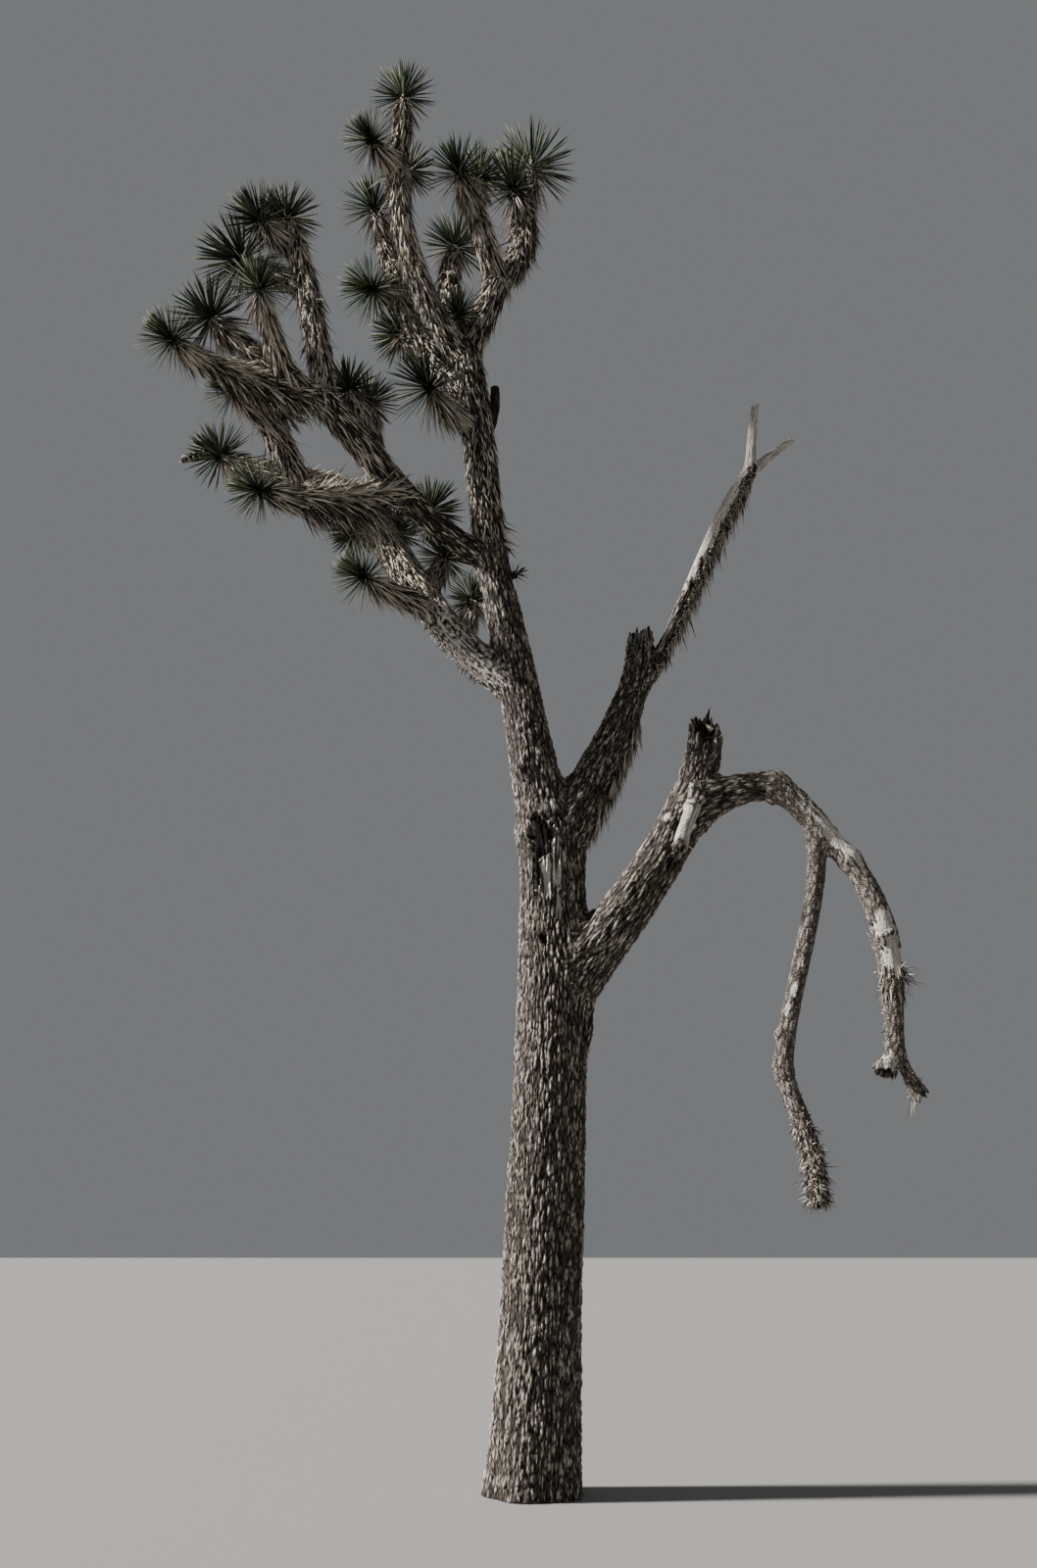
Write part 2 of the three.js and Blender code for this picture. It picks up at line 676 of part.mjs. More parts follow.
// One named mesh, placed at the foot that it grows from
function placedMesh(name, geometry, foot, finish) {
  const placed = geometry.clone().translate(-foot.x, -foot.y, -foot.z);
  placed.computeVertexNormals();
  const mesh = new THREE.Mesh(placed, new THREE.MeshStandardMaterial(finish));
  mesh.name = name;
  mesh.position.copy(foot);
  return mesh;
}

// Whether the boxes round two solids meet
function nearby(a, b) {
  const p = a.boundingBox();
  const q = b.boundingBox();
  return [0, 1, 2].every((k) => p.min[k] < q.max[k] && q.min[k] < p.max[k]);
}

// Cuts a solid back from its neighbours
function cutClear(solid, others) {
  return others.reduce((rest, other) => (nearby(rest, other) ? rest.subtract(other) : rest), solid);
}

// The trunk and boughs, each cut clear of those before it
function buildLimbs(lines) {
  const group = new THREE.Group();
  const grown = [];
  for (const [name, limb] of Object.entries(LIMBS)) {
    const solid = cutClear(limbSolid(name, lines, 0), grown);
    grown.push(limbSolid(name, lines, GAP));
    const foot = name === 'trunk' ? vector() : lines[name].line.getPointAt(0);
    const finish = limb.bare ? FINISHES.bare_wood : FINISHES.bark;
    group.add(placedMesh(name, largestPiece(solid), foot, finish));
  }
  return { group, grown };
}

// The masses of foliage: stems cut clear of the limbs, with their leaves joined to them
function buildMasses(lines, grownLimbs) {
  const group = new THREE.Group();
  const tubes = Object.entries(lines).flatMap(([name, entry]) => tubePieces(entry, name));
  const masses = Object.entries(MASSES).map(([name, mass]) => {
    return { name, mass, stems: massStems(mass, lines) };
  });
  masses.forEach(({ name, stems }) => stems.forEach((stem) => tubes.push(...tubePieces(stem, name))));
  const leaves = [];
  masses.forEach(({ name, mass, stems }, index) => {
    const random = seededRandom(SEED + MASS_SEED_STEP * index);
    const single = mass.sprout ? LEAVES_SPROUT : LEAVES_SINGLE;
    const count = stems.length > 1 ? LEAVES_FORKED : single;
    stems.forEach((stem) => growLeaves(stem, name, count, random, tubes, leaves));
  });
  const grownStems = [];
  for (const { name, mass, stems } of masses) {
    const foot = stems[0].line.getPointAt(0);
    const cores = stems.map((stem) => tube({ ...stem, sides: STEM_SIDES, step: STEM_STEP }));
    let solid = cores.reduce((whole, core) => whole.add(core));
    solid = cutClear(solid, [...grownLimbs, ...grownStems]);
    solid = toSolid(largestPiece(solid));
    if (mass.stalk) {
      solid = solid.add(stalkSolid(stems[0].neck, mass.stalk));
    }
    for (const leaf of leaves.filter((l) => l.owner === name)) {
      solid = solid.add(leafSolid(leaf));
    }
    for (const stem of stems) {
      grownStems.push(tube({ ...stem, sides: STEM_SIDES, step: STEM_STEP, grow: GAP }));
    }
    group.add(placedMesh(name, largestPiece(solid), foot, FINISHES.foliage));
  }
  return group;
}

const lines = limbLines();
const limbs = buildLimbs(lines);
const tree = new THREE.Group();
tree.name = 'joshua_tree';
tree.add(limbs.group);
tree.add(buildMasses(lines, limbs.grown));

export default tree;
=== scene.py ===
"""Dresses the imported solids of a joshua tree: furrowed bark, bare wood, dead thatch and leaf rosettes.

Every limb, stem and rosette grows by the rule that shaped its solid, carried finer. All sizes are in
metres, with X to the right of the photograph, Y away from its camera and Z up from the ground.
"""

import logging
import math
from dataclasses import dataclass, field
from enum import Enum

import bpy
import numpy as np
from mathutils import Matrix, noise


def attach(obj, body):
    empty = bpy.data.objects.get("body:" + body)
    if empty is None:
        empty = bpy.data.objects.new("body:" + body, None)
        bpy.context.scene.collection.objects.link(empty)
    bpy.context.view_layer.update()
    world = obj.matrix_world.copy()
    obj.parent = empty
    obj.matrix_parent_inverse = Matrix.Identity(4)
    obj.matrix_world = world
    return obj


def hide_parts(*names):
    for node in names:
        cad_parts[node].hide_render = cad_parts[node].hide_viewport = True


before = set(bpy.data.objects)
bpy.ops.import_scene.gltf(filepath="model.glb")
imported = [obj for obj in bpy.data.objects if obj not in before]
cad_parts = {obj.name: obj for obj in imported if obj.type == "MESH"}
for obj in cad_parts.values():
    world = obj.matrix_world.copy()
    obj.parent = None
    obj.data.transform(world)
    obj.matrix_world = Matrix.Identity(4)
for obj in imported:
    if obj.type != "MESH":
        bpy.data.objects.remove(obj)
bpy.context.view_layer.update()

LOG = logging.getLogger("joshua_tree")
Triple = tuple[float, float, float]
Array = np.ndarray
Socket = bpy.types.NodeSocket

SEED = 20117
GOLDEN_ANGLE = math.pi * (3 - math.sqrt(5))
UP = np.array([0.0, 0.0, 1.0])
PIECE_TRIANGLES = 190_000

# How limbs and stems grow: stations along them, sway, girths, lead-ins and the trunk's flare
TRUNK = "trunk"
FLARE_HEIGHT = 0.42
FLARE_LOBES = 5
FLARE_DEPTH = 0.07
LIMB_STATIONS = 81
LEAD_STATIONS = 13
STEM_STATIONS = 25
STALK_STATIONS = 21
SWAY_SCALE = 10.39
GIRTH_SMOOTHING = 0.09
LEAD_TAPER = 0.4
LEAD_BACK = 1.1
STEM_GIRTH = 0.15
STEM_SHARE = 0.92
STEM_TAPER = (1, 1, 1, 0.96, 0.82)
STEM_BEND = 0.4
STEM_CORE = 0.82
NECK_GIRTH = 0.07
STALK_BOW = 0.02
STALK_GIRTHS = (0.03, 0.045, 0.05, 0.04, 0.02)

# A whole end's dome, and each ring's share of the radius and rise at a broken end
DOME_DEPTH = 0.35
DOME_TURNS = (18, 36, 54, 72, 90)
BREAK_SHARES = (1.0, 1.0, 0.97, 0.84, 0.76, 0.66, 0.5, 0.3, 0.12, 0.0)
BREAK_RISES = (0.35, 0.75, 1.0, 0.95, 0.35, -0.5, -0.8, -0.7, -0.75, -0.7)
BREAK_RIM = 0.9
BREAK_CORE = 0.7
RING_PALE = 0.3
CORE_PALE = 0.06
TEETH = (0.45, 0.8, 0.9)
TALLEST_TOOTH = 1.3
ROUGH_TEETH = 2.2
FINE_TEETH = 7
CHIPS = 90
BREAK_SPAN = 0.4
CHIP_HEIGHT = 0.3

# Waves of noise: how many there are to a metre round the limb and along it, and their height
WARP_WAVES = ((7, 5, 0.55),)
RIM_WAVES = ((34, 13, 0.45), (90, 40, 0.2))
SCRAP_WAVES = ((60, 38, 1.0), (130, 90, 0.5))
STRAND_WAVES = ((48, 7, 1.0), (95, 16, 0.5))

# The skins: their points, the relief on them, bare patches, and how limbs flow into each other
TRUNK_CELL = 0.0072
STEM_CELL = 0.02
STALK_CELL = 0.01
ROW_STRETCH = 1.25
FEWEST_ROWS = 6
FEWEST_COLUMNS = 14
CELL_GAIN = 2.4
MEAN_CREST = 0.55
FULL_RELIEF_RADIUS = 0.13
LEAST_RELIEF = 0.45
BARE_SMOOTHING = 0.92
SWELL_HEIGHT = 0.62
SWELL_EDGE = (0.1, 1.25)
SWELL_FACING = -0.2
WOOD_PALE = 0.7
PATCH_EDGE = (0.82, 1.02)
SCRAP_LEVEL = 0.75
SCRAP_CONTRAST = 1.6
RIM_DEPTH = 0.012
RIM_SHARE = 0.5
RIM_RISE = (0.85, 1.0)
RIM_FALL = (1.0, 1.3)
FACE_REACH = 0.25
ROUND_REACH = 0.22
FAR = 9.0
BESIDE = 0.15
MERGE_ROUNDS = 4
MERGE_LIMIT = 0.4
MERGE_BURIED = -0.7

# The leaves: the fans' least angle, spread and curve, widths, and how deep they root
LIVING_FAN = (0.08, 1.72, 0.74)
SKIRT_FAN = (1.8, 1.16, 0.5)
LIVING_WIDTH = 0.015
SKIRT_WIDTH = 0.0115
SKIRT_DEPTH = 0.13
SPROUT_LEAVES = (24, 10)
LEAST_HANG = 0.25
ROOT_SHARE = 0.97
FAN_SPREAD = 0.05
INNER_LENGTH = 0.8
OUTER_GAIN = 0.2
YOUNG_SHARE = 0.08
ROOT_OUT = 0.012
ROOT_RISE = 0.035
ROOT_SINK = 0.02
FACE_OUT = 0.05
LEAST_WIDTH = 0.7
WIDTH_GAIN = 0.3
FULL_LEAF = 0.3
SKIRT_OUT = 0.024
SKIRT_HANG = 0.35
LIFT_SPREAD = 0.6
SIDE_SPREAD = 0.08
TWIST_SPREAD = 0.3
SPLINTER_RIM = 0.86
SPLINTER_DEPTH = 0.03

# The bark's colour: fibres to a metre, their stretch, and blotches to a metre
FINE_FIBRES = 130
COARSE_FIBRES = 62
FIBRE_STRETCH = 0.09
BLOTCHES = 6
WHITE = (1.0, 1.0, 1.0)

# The photograph's camera: eye height, distance, upward tilt and lens on a 36 mm long side
EYE = (-0.09, -9.5, 1.5)
TILT = math.radians(16.03)
LENS = 35.0
FILM = 36


class Skin(Enum):
    """What covers a limb."""

    BARK = "furrowed corky bark"
    CRACKED = "thin bark with blocky cracks"
    THATCH = "dead leaves over a thin stem"
    WOOD = "weathered wood without bark"


class Tint(Enum):
    """The plain base colours that leaves are dealt, as linear red, green and blue."""

    YOUNG = (0.126, 0.146, 0.088)
    GREEN = (0.054, 0.070, 0.039)
    DEEP = (0.022, 0.030, 0.019)
    STRAW = (0.580, 0.530, 0.440)
    GREY = (0.320, 0.292, 0.250)
    BROWN = (0.105, 0.088, 0.070)
    DARK = (0.026, 0.022, 0.018)


LIVING_TINTS = (Tint.YOUNG, Tint.GREEN, Tint.DEEP)
DRY_TINTS = (Tint.STRAW, Tint.GREY, Tint.BROWN, Tint.DARK)


@dataclass
class Limb:
    """One tapering limb, grown from a station along an earlier one.

    Attributes:
        name: the node that it stands for.
        on: the limb that it grows from, or an empty name for the trunk.
        at: how far along that limb, from 0 to 1.
        reach: from its foot to its tip.
        girths: its diameters at even stations.
        aside: its foot's place beside the other limb's middle line.
        bow: how far its middle bows.
        sway: how far it sways both ways.
        ragged: how far its broken end stands up in teeth, in radii, or 0 for a round end.
        slant: which side of its broken end stands higher, and how far, with the whole end's rise as Z.
        skin: what covers it.
        core: the share of the girth that is stem, where dead leaves make up the rest.
        merge: how widely it flows into the limbs that it joins, in radii.
    """

    name: str
    on: str
    at: float
    reach: Triple
    girths: tuple[float, ...]
    aside: Triple = (0.0, 0.0, 0.0)
    bow: Triple = (0.0, 0.0, 0.0)
    sway: Triple = (0.0, 0.0, 0.0)
    ragged: float = 0.0
    slant: Triple = (0.0, 0.0, 0.0)
    skin: Skin = Skin.BARK
    core: float = 1.0
    merge: float = 0.95


SHAGGY_CORE = 0.86
SHAGGY = {"skin": Skin.THATCH, "core": SHAGGY_CORE}
LIMBS = (
    Limb(TRUNK, "", 0, (0.125, 0, 3.9), (0.545, 0.48, 0.455, 0.435, 0.4), bow=(0.025, 0, 0),
         sway=(-0.01, 0, 0)),
    Limb("left_stem", "trunk", 1, (-0.37, 0.12, 2.01), (0.34, 0.3, 0.26, 0.245, 0.215), aside=(-0.045, 0, 0),
         bow=(0.02, 0, 0)),
    Limb("dead_bough", "trunk", 1, (0.545, 0.36, 1.49), (0.325, 0.285, 0.245, 0.2, 0.16), aside=(0.08, 0, 0),
         bow=(0.08, 0, -0.025), sway=(-0.015, -0.01, 0.005), ragged=0.7, slant=(0.02, 0.02, 0)),
    Limb("right_bough", "trunk", 0.77, (0.8, -0.4, 1.52), (0.35, 0.31, 0.28, 0.245, 0.2),
         aside=(0.16, -0.02, -0.02), bow=(0.115, -0.07, -0.07), sway=(-0.025, 0.02, 0.01), ragged=0.5,
         slant=(-0.02, 0.12, -0.065)),
    Limb("leader", "left_stem", 1, (-0.19, 0.13, 1.68), (0.215, 0.235, 0.25, 0.24, 0.225), bow=(0.02, 0, 0),
         skin=Skin.THATCH, core=0.9),
    # The stub takes the near-black stem finish of the thatch, painted shade, though no thatch covers it
    Limb("leader_stub", "leader", 0.6, (0.035, 0.03, 0.33), (0.085, 0.08, 0.075, 0.07, 0.065),
         aside=(0.09, 0.02, 0.01), bow=(0.015, 0, 0), skin=Skin.THATCH),
    Limb("left_bough", "left_stem", 0.98, (-1.14, -0.62, 0.89), (0.19, 0.165, 0.19, 0.2, 0.18),
         bow=(-0.045, -0.075, -0.105), sway=(-0.015, 0.025, -0.01), skin=Skin.THATCH, core=0.94),
    Limb("lower_bough", "left_stem", 0.52, (-1.07, 0.46, 1.55), (0.235, 0.22, 0.21, 0.23, 0.21),
         aside=(-0.07, 0, -0.01), bow=(-0.05, 0.025, -0.04), sway=(-0.015, -0.01, -0.01), merge=0.5),
    Limb("lower_bough_tip", "lower_bough", 1, (-0.47, -0.22, 0.13), (0.21, 0.2, 0.195, 0.185, 0.18),
         bow=(0, 0.025, 0.02), sway=(0.005, 0.005, 0.02), **SHAGGY),
    Limb("dead_limb", "dead_bough", 0.78, (0.885, 0.45, 1.875), (0.115, 0.085, 0.1, 0.115, 0.1),
         aside=(0.06, 0.01, -0.025), bow=(-0.015, -0.005, 0.01), sway=(0.015, 0.005, -0.01)),
    Limb("dead_twig_upright", "dead_limb", 0.99, (0.06, 0.05, 0.535), (0.088, 0.078, 0.072, 0.064, 0.055),
         bow=(-0.005, 0.005, 0), ragged=1.2, skin=Skin.WOOD),
    Limb("dead_twig_slanting", "dead_limb", 1, (0.31, 0.19, 0.34), (0.08, 0.07, 0.064, 0.056, 0.042),
         aside=(0.03, 0.01, -0.01), bow=(-0.01, 0, 0.01), ragged=1.2, skin=Skin.WOOD),
    Limb("arch_rise", "right_bough", 0.69, (0.495, -0.16, 0.135), (0.26, 0.23, 0.205, 0.18, 0.165),
         aside=(0.02, -0.01, -0.04), bow=(-0.015, 0, 0.05)),
    Limb("arch_fall", "arch_rise", 1, (0.4, -0.14, -0.49), (0.16, 0.16, 0.16, 0.135, 0.115),
         bow=(0.015, -0.005, 0.015), sway=(0.005, -0.005, 0.005), skin=Skin.CRACKED),
    Limb("hanging_outer", "arch_fall", 1, (0.165, -0.13, -1.165), (0.12, 0.145, 0.15, 0.115, 0.1),
         bow=(0.095, -0.01, 0.015), sway=(0.015, 0, 0), skin=Skin.CRACKED),
    Limb("outer_stub_left", "hanging_outer", 0.97, (-0.06, -0.03, -0.12), (0.065, 0.075, 0.09, 0.118, 0.145),
         aside=(-0.01, 0, 0), ragged=0.4, skin=Skin.CRACKED),
    Limb("outer_stub_right", "hanging_outer", 0.98, (0.1, -0.02, -0.235), (0.07, 0.07, 0.07, 0.08, 0.095),
         aside=(0.015, 0, 0), bow=(-0.01, 0, -0.005), ragged=0.8, skin=Skin.CRACKED),
    Limb("hanging_inner", "arch_fall", 0.62, (-0.29, -0.17, -1.41), (0.13, 0.105, 0.1, 0.1, 0.11),
         aside=(-0.04, 0, -0.03), bow=(0.025, 0, -0.005), sway=(0.02, 0.005, -0.005), skin=Skin.CRACKED),
    Limb("hanging_inner_tip", "hanging_inner", 1, (0.145, -0.06, -0.72), (0.11, 0.12, 0.13, 0.125, 0.12),
         bow=(0.03, -0.005, 0.005), sway=(-0.01, 0, 0), ragged=0.7, skin=Skin.CRACKED, core=0.84),
    Limb("broken_twig", "right_bough", 0.76, (-0.14, -0.225, -0.44), (0.102, 0.102, 0.09, 0.088, 0.094),
         aside=(0.005, -0.095, -0.01), bow=(0.005, -0.045, 0), sway=(0.008, 0, 0), ragged=0.35,
         skin=Skin.CRACKED, merge=0.25),
    Limb("top_bough", "leader", 0.9, (-0.485, -0.34, 1.735), (0.185, 0.17, 0.17, 0.165, 0.16),
         bow=(-0.18, -0.04, -0.055), sway=(0.01, 0.025, 0.005), **SHAGGY),
    Limb("back_bough", "leader", 0.8, (-0.63, 0.5, 1.64), (0.155, 0.16, 0.15, 0.15, 0.14),
         aside=(-0.08, 0.025, -0.015), bow=(-0.08, 0.055, -0.045), **SHAGGY),
    Limb("right_crown", "leader", 0.93, (0.22, 0.16, 0.775), (0.185, 0.185, 0.195, 0.205, 0.205),
         bow=(-0.005, 0.005, 0), **SHAGGY),
    Limb("right_crown_left", "right_crown", 0.96, (-0.17, -0.28, 0.45), (0.19, 0.19, 0.185, 0.18, 0.175),
         bow=(0.01, 0.015, 0.015), **SHAGGY),
    Limb("right_crown_right", "right_crown", 0.98, (0.19, 0.3, 0.8), (0.19, 0.195, 0.205, 0.21, 0.215),
         bow=(0.05, 0.04, -0.025), **SHAGGY),
    Limb("middle_crown", "leader", 0.96, (-0.165, 0.54, 1.11), (0.155, 0.17, 0.175, 0.18, 0.17),
         aside=(0.015, 0.015, 0), bow=(-0.05, 0.02, -0.015), **SHAGGY),
    Limb("left_crown_top", "left_bough", 0.96, (-0.27, 0.16, 1.33), (0.18, 0.17, 0.175, 0.17, 0.165),
         bow=(0.03, -0.005, 0.005), **SHAGGY),
    Limb("left_crown_side", "left_bough", 1, (-0.66, -0.2, 0.115), (0.18, 0.19, 0.19, 0.18, 0.165),
         bow=(-0.005, 0.005, -0.025), **SHAGGY),
    Limb("left_crown_front", "left_bough", 1, (-0.275, -0.4, 0.32), (0.17, 0.165, 0.155, 0.145, 0.125),
         aside=(-0.025, 0, 0.03), bow=(-0.055, -0.005, -0.055), sway=(-0.015, 0.015, 0), **SHAGGY),
    Limb("low_crown", "lower_bough_tip", 0.94, (-0.225, -0.25, 0.365), (0.18, 0.19, 0.195, 0.19, 0.18),
         aside=(0.005, -0.02, -0.015), bow=(0.015, 0, 0.01), **SHAGGY),
    Limb("level_branch", "left_bough", 0.49, (-0.6, -0.33, -0.2), (0.185, 0.19, 0.195, 0.2, 0.19),
         aside=(-0.02, -0.015, -0.03), bow=(0, 0.01, -0.02), **SHAGGY),
)


@dataclass(frozen=True)
class Neck:
    """One rosette's neck: its place from the stem's foot, its leaves' length and its turn upwards."""

    reach: Triple
    leaf: float
    rise: float = 0.0


@dataclass(frozen=True)
class Mass:
    """One mass of foliage: a stem, or a fork of two, with a rosette at each neck.

    Attributes:
        name: the node that it stands for.
        on: the limb that it grows from.
        at: how far along that limb.
        necks: the rosettes' necks.
    """

    name: str
    on: str
    at: float
    necks: tuple[Neck, ...]


# Name, limb, how far along it, and for each neck its reach, leaf length and rise
MASSES = tuple(Mass(f"{name}_leaves", on, at, tuple(Neck(*neck) for neck in necks))
               for name, on, at, *necks in (
    ("crown_tip", "top_bough", 1, ((0, 0, 0.32), 0.27, 0.3)),
    ("crown_left", "top_bough", 0.85, ((-0.175, -0.18, 0.07), 0.28, 0.3)),
    ("crown_behind", "top_bough", 0.75, ((0.045, 0.205, 0.32), 0.25, 0.3)),
    ("back_tip", "back_bough", 1, ((-0.075, -0.07, 0.215), 0.31)),
    ("back_middle", "back_bough", 0.72, ((-0.165, -0.155, -0.13), 0.3, 0.4)),
    ("back_low", "back_bough", 0.39, ((-0.16, 0.26, 0.19), 0.285, 0.2)),
    ("leader_front", "leader", 0.59, ((-0.325, -0.3, 0.155), 0.37, 0.5)),
    ("right_inner", "right_crown_left", 1, ((-0.105, -0.14, 0.205), 0.32, 0.3),
     ((0.035, 0.13, 0.37), 0.265, 0.3)),
    ("right_outer", "right_crown_right", 1, ((-0.075, -0.1, 0.175), 0.42), ((0.075, 0.15, 0.565), 0.4)),
    ("middle_tip", "middle_crown", 1, ((0.04, 0.1, 0.275), 0.325, 0.2)),
    ("middle_front", "middle_crown", 0.27, ((0.01, -0.195, 0.04), 0.24, 0.5)),
    ("left_top", "left_crown_top", 1, ((-0.075, 0.06, 0.26), 0.275, 0.2),
     ((-0.24, -0.06, 0.155), 0.305, 0.3)),
    ("left_behind", "left_crown_top", 0.7, ((-0.485, 0.145, 0.335), 0.385)),
    ("left_front", "left_crown_front", 1, ((-0.03, -0.08, 0.15), 0.265, 0.2)),
    ("left_upper", "left_crown_front", 0.36, ((-0.56, 0.14, 0.505), 0.33, 0.2)),
    ("left_tip", "left_crown_side", 1, ((-0.235, -0.18, 0.075), 0.265, 0.3)),
    ("low_left", "low_crown", 1, ((-0.185, -0.13, 0.085), 0.245)),
    ("low_back", "low_crown", 0.8, ((0.065, 0.15, 0.205), 0.215, 0.2)),
    ("low_outer", "lower_bough_tip", 1, ((-0.55, 0.15, 0.22), 0.285, 0.3)),
    ("level_tip", "level_branch", 1, ((-0.22, -0.18, -0.035), 0.25, 0.1)),
    ("left_bough_top", "left_bough", 0.64, ((-0.2, 0.065, 0.585), 0.24), ((-0.09, 0.265, 0.605), 0.235)),
    ("left_bough_back", "left_bough", 0.29, ((-0.06, 0.42, 0.3), 0.275, 0.6)),
    ("lower_back", "lower_bough", 0.66, ((-0.09, 0.21, 0.365), 0.245)),
    ("lower_inner", "lower_bough", 0.49, ((0.115, 0.295, 0.45), 0.25)),
    ("lower_foot", "lower_bough", 0.24, ((0.065, 0.17, 0.4), 0.22)),
    ("lower_outer", "lower_bough", 0.43, ((-0.455, -0.295, 0.125), 0.275, 0.2)),
    ("lower_left", "lower_bough", 0.83, ((-0.22, 0.185, 0.115), 0.23)),
    ("sprout", "left_stem", 0.9, ((0.135, -0.04, 0.02), 0.095, 0.2)),
))
STALKS = {"low_outer_leaves": (-0.27, -0.02, -0.06)}
SPROUTS = ("sprout_leaves",)


@dataclass(frozen=True)
class Thatch:
    """A stretch of limb that dead leaves cover, all round or on one side.

    Attributes:
        on: the limb.
        start: where the stretch begins, from 0 to 1.
        end: where it ends.
        leaf: the leaves' length.
        density: leaves to a metre of limb.
        lift: the angle in radians between a leaf and the bark.
        width: the leaves' width.
        facing: the side that they cover, or nothing for all round.
        spread: how far to each side of that they reach, in radians.
        hang: how strongly their own weight turns them down.
        tangle: how far they point any way.
        tints: how often each dry tint is dealt, from straw to dark.
    """

    on: str
    start: float = 0.0
    end: float = 1.0
    leaf: float = 0.09
    density: float = 1100
    lift: float = 0.1
    width: float = 0.012
    facing: Triple | None = None
    spread: float = math.pi
    hang: float = 0.1
    tangle: float = 0.05
    tints: tuple[float, ...] = (0.4, 0.16, 0.14, 0.3)


SHAGGY_LIMBS = tuple(limb.name for limb in LIMBS if limb.core == SHAGGY_CORE)
UNDERSIDE = (0, -0.3, -1)
SUNNY_SIDE = (-0.3, -0.7, 0.6)
# Mostly pale straw: painted light, dealt to the thatch on the sunny sides
PAINTED_LIGHT_STRAW = (0.84, 0.12, 0.02, 0.02)
PALE = (0.5, 0.25, 0.1, 0.15)
DIM = (0.25, 0.2, 0.2, 0.35)
# Mostly brown and dark: painted shade, dealt to the thatch on the undersides
SHADED = (0.12, 0.2, 0.3, 0.38)
